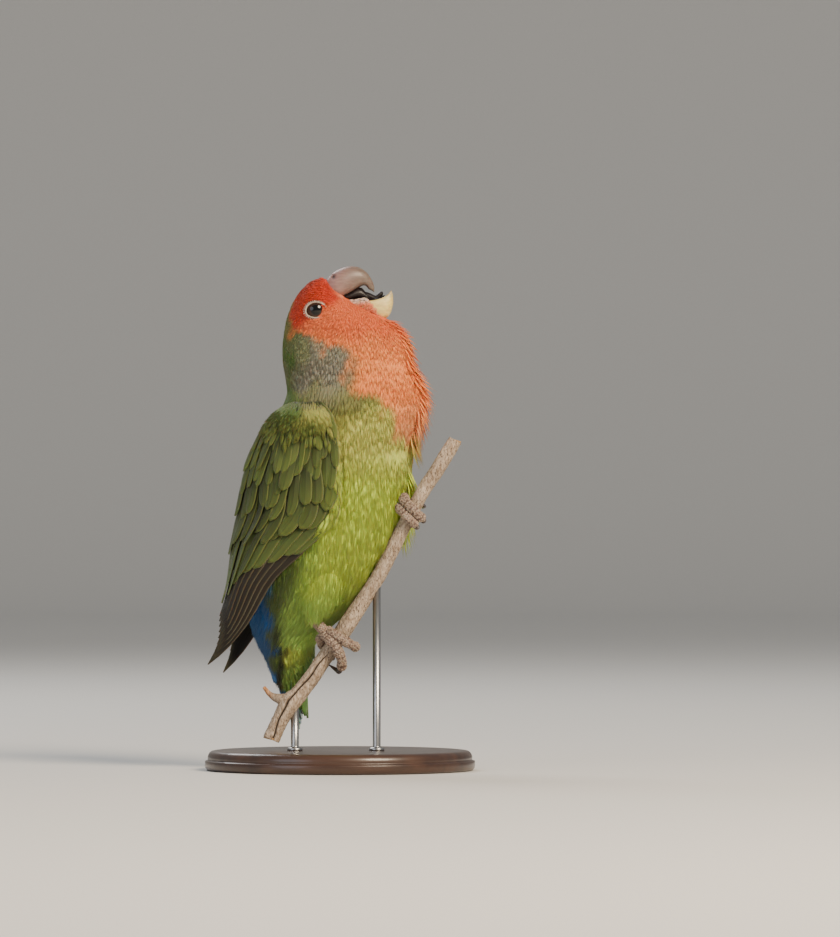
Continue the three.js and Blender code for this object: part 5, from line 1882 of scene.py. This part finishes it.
@dataclass
class Foot:
    """A foot round the twig: its shank, sole, toes and claws."""

    side: Side
    height: float
    sole: float
    ankle: tuple[float, float, float]
    toes: tuple[Toe, ...]
    sole_radius: float = 2.2
    shank_radius: float = 2.1
    gap: float = 0.3

    def on_twig(self, drift: Array, angle: Array, out: Array) -> Array:
        """Points round the twig: drift along it, angle about it in degrees, distance out from its bark."""
        line = TWIG.at(np.array([self.height]))[1][0]
        point, _, inner, radius = TWIG.at(self.height + np.asarray(drift, float) * line[2])
        turn = np.radians(angle)
        far = radius + out
        aside = np.stack([0 * turn, -far * np.sin(turn), 0 * turn], -1)
        return point + inner * (far * np.cos(turn))[..., None] + aside

    def toe_path(self, toe: Toe, share: Array, out: Array) -> Array:
        """Points of a toe's middle line."""
        drift = mix(toe.drift[0], toe.drift[1], np.minimum(share, 1.06) ** toe.late)
        return self.on_twig(drift, self.sole + toe.curl * toe.reach * share, out)

    def build(self, skin: Material, horn: Material, scutes: NodeTree) -> None:
        """Builds the foot's pieces.

        Args:
            skin: Finish of shank and toes.
            horn: Finish of the claws.
            scutes: The tree that covers toes with scutes.
        """
        word = self.side.word
        shells, banded = [], []
        share = np.linspace(0.02, 1, 110)
        for toe in self.toes:
            out = self.gap + toe.radius + toe.off * share**2 * (3 - 2 * share)
            path = self.toe_path(toe, share, out)
            pads = 1 + 0.07 * np.cos(share * 2 * math.pi * 3.2) + 0.035 * np.cos(share * 2 * math.pi * 12)
            radii = toe.radius * (1.0 - 0.14 * share) * pads
            near = np.clip((1 - share) * 12, 0, 1)
            radii = radii * np.sqrt(np.clip(1 - (1 - near) ** 2, 0.05, 1))
            shells.append(tube_rings(path, radii, 20))
            banded.append(0.35 + 0.65 * smooth(-0.8, -0.3, np.cos(share * 2 * math.pi * 12)))
        middle = self.on_twig(
            np.array([0.0]), np.array([self.sole]), np.array([self.gap + self.sole_radius])
        )[0]
        a = np.linspace(0.05, math.pi - 0.05, 12)
        path = middle + np.stack([0 * a, 0 * a, -self.sole_radius * np.cos(a)], -1)
        shells.append(tube_rings(path, self.sole_radius * 0.97 * np.sin(a), 20))
        banded.append(np.ones(12))
        points, faces, thick = [], [], []
        count = 0
        for rings, bands in zip(shells, banded):
            made, skin_faces = closed_rings(rings)
            thick.append(np.ones(len(made)))
            thick[-1][: len(bands) * 20] = np.repeat(bands, 20)
            points.append(made)
            faces += [tuple(i + count for i in f) for f in skin_faces]
            count += len(made)
        thick = np.concatenate(thick)
        tint = mix(linear("#5e4f46"), linear("#94827a"), thick[:, None])
        source = make_piece(f"toes_{word}", np.vstack(points), faces, {"tint": tint, "thick": thick})
        values = {"Spacing": 0.62 * MM, "Radius": 0.36 * MM, "Seed": 5, "Finish": skin}
        made = apply_tree(source, scutes, values, f"foot_{word}_toes")
        dress(made, skin, "leg_skin", f"foot_{word}")
        start = np.array(self.ankle)
        line = middle - start
        length = np.linalg.norm(line)
        stop = start + line * (1 - 0.9 / length)
        root = start - line * (2.4 / length)
        path, radii = rounded(
            np.array([root, (start + stop) / 2, stop]), self.shank_radius * np.array([0.98, 0.88, 0.96]), 30
        )
        points, faces = closed_rings(tube_rings(path, radii, 24))
        tint = np.tile(linear("#8f7c70"), (len(points), 1))
        source = make_piece(f"shin_{word}", points, faces, {"tint": tint, "thick": np.ones(len(points))})
        values = {"Spacing": 0.7 * MM, "Radius": 0.4 * MM, "Seed": 6, "Finish": skin}
        made = apply_tree(source, scutes, values, f"foot_{word}_shank")
        dress(made, skin, "leg_skin", f"shank_{word}")
        for k, toe in enumerate(self.toes):
            s = np.linspace(0, 1, 18)
            out = mix(self.gap + toe.radius + toe.off - 0.1, 0.6, s**1.5)
            path = self.toe_path(toe, 1 + (4 + s * 40) / toe.reach, out)
            radii = mix(1.1, 0.24, s**1.4)
            piece = make_piece(f"claw_{word}_{k + 1}_horn", *closed_rings(tube_rings(path, radii, 14)))
            dress(piece, horn, "claw_horn", f"claw_{word}_{k + 1}")


@dataclass
class Perch:
    """The cut length of twig with its spur, bark, long crack and sawn ends."""

    spur: Rows = ((-19.5, 25.6), (-25, 27.6), (-28.2, 31))
    spur_radius: float = 1.9
    crack: Pair = (12.5, 45.0)
    rows: int = 420
    sides: int = 96

    def build(self, bark: Material, wood: Material) -> None:
        """Builds the twig and its sawn ends.

        Args:
            bark: Finish of the twig and its spur.
            wood: Finish of the sawn ends.
        """
        z = np.linspace(11.6, 122.1, self.rows)
        middle, line, _, radius = TWIG.at(z)
        angles = circle(self.sides)
        rings = tube_rings(middle, radius, self.sides).reshape(-1, 3)
        centres = np.repeat(middle, self.sides, axis=0)
        out = unit(rings - centres)
        lift = np.zeros(len(rings))
        for i, p in enumerate(rings):
            spot = Vector((p[0], p[1], p[2]))
            long = Vector((p[0] * 0.5 - p[2] * 0.24, p[1] * 0.9, p[2] * 0.12 + p[0] * 0.05))
            lift[i] = 0.2 * noise.noise(long * 0.9) + 0.13 * noise.noise(spot * 0.9)
            lift[i] += 0.06 * noise.noise(spot * 2.6)
        zz, aa = np.repeat(z, self.sides), np.tile(angles, self.rows)
        facing = np.arctan2(out[:, 1], out @ np.array([0.85, 0.0, -0.52]))
        course = -1.7 + 0.25 * np.sin(zz * 0.16) + 0.1 * np.sin(zz * 0.6)
        wide = 0.09 * smooth(self.crack[1], self.crack[1] - 8, zz) + 0.02
        groove = np.exp(-(((facing - course) / wide) ** 2)) * smooth(self.crack[1], self.crack[1] - 4, zz)
        lift -= 0.85 * groove
        ring_marks = np.sin(zz * 2.1 + 0.7 * np.sin(aa * 3)) * smooth(0.4, 1.0, ripple(rings, 9, 2))
        lift += 0.07 * ring_marks - 0.12
        made = rings + out * lift[:, None]
        points, faces = closed_rings(made.reshape(self.rows, self.sides, 3))
        grey, tan = linear("#b5a490"), linear("#d6c3ac")
        tint = mix(grey, tan, np.clip(0.5 + 0.6 * ripple(points, 6, 1), 0, 1)[:, None])
        # Painted shade: the long crack is darkened nearly to black, as the shade inside it.
        dark = np.concatenate([groove, [0, 0]])
        tint = wash(tint, "#241b15", np.clip(dark * 1.3, 0, 1))
        dress(make_piece("twig_bark", points, faces, {"tint": tint}), bark, "bark", "perch")
        path = np.array([[x, TWIG_Y, h] for x, h in self.spur])
        fine, radii = rounded(path, self.spur_radius * np.array([1.5, 0.62, 0.32]), 40, 0.6)
        rings = tube_rings(fine, radii, 24)
        shift = np.array([0.12 * noise.noise(Vector(p) * 1.1) for p in rings.reshape(-1, 3)])
        rings = rings + unit(rings - fine[:, None]) * shift.reshape(40, 24, 1)
        points, faces = closed_rings(rings)
        tint = mix(grey, linear("#d59a6a"), smooth(-24, -28, points[:, 0])[:, None])
        dress(make_piece("twig_spur", points, faces, {"tint": tint}), bark, "bark")
        for name, height, sign in (("lower", 11.6, -1), ("upper", 122.1, 1)):
            point, line, inner, radius = (k[0] for k in TWIG.at(np.array([height])))
            rings = []
            for share, rise in ((0.88, -0.6), (0.9, 0.02), (0.86, 0.14), (0.5, 0.16), (0.1, 0.15)):
                spots = np.outer(np.cos(angles), inner) + np.outer(np.sin(angles), [0, 1, 0])
                rings.append(point + spots * radius * share + line * sign * rise)
            points, faces = closed_rings(np.array(rings))
            away = np.linalg.norm(points - point, axis=1) / radius
            rings_tint = mix(linear("#d8bf98"), linear("#b08f66"), (0.5 + 0.5 * np.sin(away * 22))[:, None])
            dress(make_piece(f"twig_cut_{name}", points, faces, {"tint": rings_tint}), wood, "bark")


@dataclass
class Stand:
    """The plain round base and two slim rods that hold the twig."""

    radius: float = 50.0
    thick: float = 7.4
    rods: tuple[tuple[str, float, float], ...] = (("lower", -16.6, 1.5), ("upper", 13.6, 1.5))

    def turned_rings(self, profile: Sequence[Pair], x: float, y: float, sides: int) -> Array:
        """Rings of a turned shape about an upright axis."""
        angles = circle(sides)
        rings = []
        for r, h in profile:
            rings.append(np.stack([x + r * np.cos(angles), y + r * np.sin(angles), np.full(sides, h)], -1))
        return np.array(rings)

    def build(self, wood: Material, steel: Material) -> None:
        """Builds the base and the rods.

        Args:
            wood: Finish of the base.
            steel: Finish of the rods.
        """
        r, t = self.radius, self.thick
        profile = [(0.5, 0), (r - 2, 0), (r - 0.7, 0.25), (r - 0.15, 0.9), (r, 1.8), (r, 3.2), (r - 0.1, 3.5)]
        profile += [(r - 0.9, 3.75), (r - 1.1, 4.1), (r - 1.0, 4.5)]
        profile += [
            (r - 1.0 - 2.2 * (1 - math.cos(a)), 4.5 + 2.75 * math.sin(a)) for a in np.linspace(0.1, 1.5, 9)
        ]
        profile += [(r - 4, t - 0.05), (r - 6, t), (r * 0.6, t), (r * 0.3, t), (0.5, t)]
        points, faces = closed_rings(self.turned_rings(profile, 0, 0, 160))
        dress(make_piece("base_disc", points, faces), wood, "base_wood", "stand_base")
        table = np.array(TWIG.stations)
        for name, x, radius in self.rods:
            top = float(curve(table[:, 0], table[:, 1], np.array([x]))[0]) - 1.4
            low = t - 0.1
            profile = [(0.1, low), (radius * 1.9, low), (radius * 1.9, low + 0.9), (radius * 1.7, low + 1.2)]
            profile += [
                (radius * 1.02, low + 1.3), (radius * 0.98, low + 1.8), (radius * 0.98, top), (0.1, top)
            ]
            points, faces = closed_rings(self.turned_rings(profile, x, TWIG_Y, 40))
            dress(make_piece(f"rod_{name}", points, faces), steel, "rod_steel", f"stand_rod_{name}")


@dataclass
class Studio:
    """A pale floor that sweeps up behind, soft lamps, and the camera at the photograph's angle."""

    distance: float = 3.0
    frame_height: float = 0.3467
    centre: Pair = (0.0296, 0.1116)

    def floor(self) -> None:
        """Builds the sweep."""
        profile = [(-6000.0, -0.05), (-400.0, -0.05), (400.0, -0.05), (3150.0, -0.05)]
        profile += [(3150 + 800 * math.sin(a), 800 - 800 * math.cos(a)) for a in np.linspace(0.06, 1.5, 20)]
        profile += [(3952.0, 3000.0)]
        rows = np.array([[(x, y, z) for y, z in profile] for x in (-6000.0, 6000.0)])
        piece = make_piece("floor", rows.reshape(-1, 3), grid_faces(2, len(profile), False))
        # Dull paper, whose faint cloud of two greys keeps the backdrop from looking flat.
        material, tree = new_material("Pale studio paper")
        node = partial(add_node, tree)
        place = node("TexCoord").outputs["Object"]
        grain = node("TexNoise", links={"Vector": place, "Scale": 900.0})
        colour = node("Mix", {"data_type": "RGBA"}, {0: grain, 6: linear("#d6d4cf"), 7: linear("#dddbd6")})
        shader = node("BsdfPrincipled", links={"Base Color": colour, "Roughness": 0.9})
        node("OutputMaterial", links={0: shader})
        piece.data.materials.append(material)

    @staticmethod
    def lamp(name: str, place: tuple[float, float, float], size: float, power: float, colour: str) -> None:
        """Adds a soft lamp that looks at the bird."""
        data = bpy.data.lights.new(name, "AREA")
        data.shape, data.size, data.energy, data.color = "DISK", size, power, linear(colour)[:3]
        made = bpy.data.objects.new(name, data)
        made.location = place
        made.rotation_euler = (Vector(place) - Vector((0, 0, 0.12))).to_track_quat("Z", "Y").to_euler()
        bpy.context.scene.collection.objects.link(made)

    def build(self) -> None:
        """Builds floor, lamps, sky and camera."""
        self.floor()
        self.lamp("key", (0.85, -1.15, 1.0), 0.7, 44.0, "#ffebcf")
        self.lamp("fill", (-1.3, -1.4, 0.6), 1.2, 8.0, "#eef2ff")
        self.lamp("rim", (-0.5, 1.0, 1.1), 0.8, 10.0, "#ffffff")
        world = bpy.data.worlds.new("sky")
        world.use_nodes = True
        world.node_tree.nodes["Background"].inputs[0].default_value = linear("#dfe3e8")
        world.node_tree.nodes["Background"].inputs[1].default_value = 0.45
        bpy.context.scene.world = world
        data = bpy.data.cameras.new("camera")
        data.sensor_fit = "VERTICAL"
        data.sensor_height = 36.0
        data.lens = 36.0 * self.distance / self.frame_height
        data.clip_end = 20
        camera = bpy.data.objects.new("camera", data)
        camera.location = (self.centre[0], -self.distance, self.centre[1])
        camera.rotation_euler = (math.pi / 2, 0, 0)
        bpy.context.scene.collection.objects.link(camera)
        bpy.context.scene.camera = camera


FEET = (
    Foot(
        Side.RIGHT, 48.2, 28, (-9.8, -10.8, 56),
        (
            Toe(1, 146, (-0.9, -8.2), 2.4, 2, 2.0), Toe(1, 140, (0.9, 1.9), 1, 2.4, 1.95),
            Toe(-1, 128, (-1.6, -6.2), 1, 0.5, 1.9), Toe(-1, 98, (-0.2, -2.2), 1, 0.5, 1.75),
        ),
    ),
    Foot(
        Side.LEFT, 96.8, -12, (18.6, 4.6, 98),
        (
            Toe(1, 156, (1.8, -2), 1.4, 1.4, 1.9), Toe(1, 146, (-1.3, -5.2), 1.2, 0.7, 1.9),
            Toe(-1, 100, (0.8, 2.4), 1, 0.4, 1.75), Toe(-1, 92, (-0.8, -3.4), 1, 0.4, 1.65),
        ),
    ),
)


def main() -> None:
    """Builds every piece of the model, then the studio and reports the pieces."""
    logging.basicConfig(level=logging.INFO, format="%(message)s")
    before = set(bpy.context.scene.objects)
    # Matt, soft and darker at each root: the eye sees small feathers that melt into one coat.
    plumage = Plumage("Body plumage, soft barbs").build()
    # Firm barbs with a paler margin, so that each covert stands out from the next one as a scale does.
    coverts = Plumage(
        "Wing coverts, firm barbs with pale margins", down=0.35, streak=0.14, barb=0.5, edge=0.6,
        edge_colour="#6a7432", shaft=0.3, sheen=0.15, roughness=0.6
    ).build()
    # Sleeker and darker, with a drawn shaft: long stiff quills that catch a narrow light.
    quills = Plumage(
        "Flight feathers, sleek dark barbs", down=0.1, streak=0.15, barb=0.5, edge=0.5, edge_colour="#6b6547",
        shaft=0.5, roughness=0.5, barbs=60
    ).build()
    # Between the two, without a margin: smooth broad blades.
    tails = Plumage(
        "Tail feathers, sleek barbs", down=0.25, streak=0.15, barb=0.5, shaft=0.2, sheen=0.15, roughness=0.55,
        barbs=50
    ).build()
    # Dull and mottled like down, so that a gap in the coat reads as shade and not as a shell.
    hide = Mottled(
        "Skin under the coat", "#ffffff", "#d8d8d8", patch=1.4, grain=0.25, roughness=0.85, bump=0.5,
        tinted=True
    ).build()
    # Satin with a little depth, and growth lines along the bill.
    horn = Mottled(
        "Bill horn, satin keratin", "#f4ece6", "#d6cac4", patch=1.6, grain=0.12, stretch=(0.5, 2, 2),
        roughness=0.38, bump=0.12, subsurface=0.15, tinted=True
    ).build()
    # Nearly black with a faint wet light: the tongue's own dark colour, which the mouth's lining and floor
    # also wear as painted shade, so that the mouth reads as deep.
    flesh = Mottled(
        "Tongue, moist dark flesh", "#1f1617", "#120d0e", patch=1.2, grain=0.2, roughness=0.42, bump=0.3,
        coat=0.1, specular=0.3
    ).build()
    # Chalky and pale, which sets the dark eye off.
    bare = Mottled(
        "Bare eye ring, chalky skin", "#c6b6a6", "#957f70", patch=0.9, grain=0.2, roughness=0.6, bump=0.3,
        subsurface=0.2
    ).build()
    # Dry and matt, with the seams between scutes kept darker.
    scaly = Mottled(
        "Toe skin, dry scutes", "#eae0d4", "#c0b1a2", patch=1.6, grain=0.4, roughness=0.6, bump=0.3,
        subsurface=0.1, tinted=True
    ).build()
    # Dark and the glossiest part of the foot, with a thin bright line along each claw.
    claws = Mottled(
        "Claw horn, dark keratin", "#54463e", "#2c231f", patch=1.0, grain=0.2, roughness=0.35, bump=0.1,
        coat=0.2
    ).build()
    # Rough, grey and tan, with streaks along the twig and small dark specks.
    bark = Mottled(
        "Twig bark, weathered", "#ffffff", "#b3a89e", patch=1.15, grain=0.3, stretch=(1.6, 1.6, 0.45),
        turn=0.5, roughness=0.9, bump=1.0, tinted=True, speckle="#5d5046", specular=0.15
    ).build()
    # Fresher and paler than the bark, with its rings.
    cut = Mottled(
        "Sawn twig end", "#ffffff", "#d8c8b0", patch=0.8, grain=0.2, roughness=0.8, bump=0.4, tinted=True
    ).build()
    # Dark brown with long grain under a satin varnish, so that it stays behind the bird.
    wood = Mottled(
        "Stained beech base, satin varnish", "#4a3122", "#2e1d14", patch=9.0, grain=0.6,
        stretch=(0.12, 1.6, 1.6), roughness=0.36, bump=0.08, coat=0.35
    ).build()
    # Grey metal with a soft upright highlight from its brushing.
    steel = Mottled(
        "Brushed steel rod", "#b4b4b2", "#9b9b99", patch=3.0, grain=0.12, stretch=(3, 3, 0.2), roughness=0.3,
        metallic=1.0, bump=0.06
    ).build()
    coat, press = BodyCoat(plumage), VanePress()
    Body().build(coat, hide)
    for side in Side:
        Wing(side).build(press, coat, hide, quills, coverts)
    Tail().build(press, coat, hide, tails)
    Bill().build(coat, horn, flesh)
    beads = bead_tree()
    for side in Side:
        Eye(side).build(Glass().build(), bare, beads)
    scutes = scute_tree()
    for foot in FEET:
        foot.build(scaly, claws, scutes)
    Perch().build(bark, cut)
    Stand().build(wood, steel)
    for piece in bpy.context.scene.objects:
        if piece not in before:
            LOG.info("%s: %d faces", piece.name, len(piece.data.polygons))
    Studio().build()


if __name__ == "__main__":
    main()
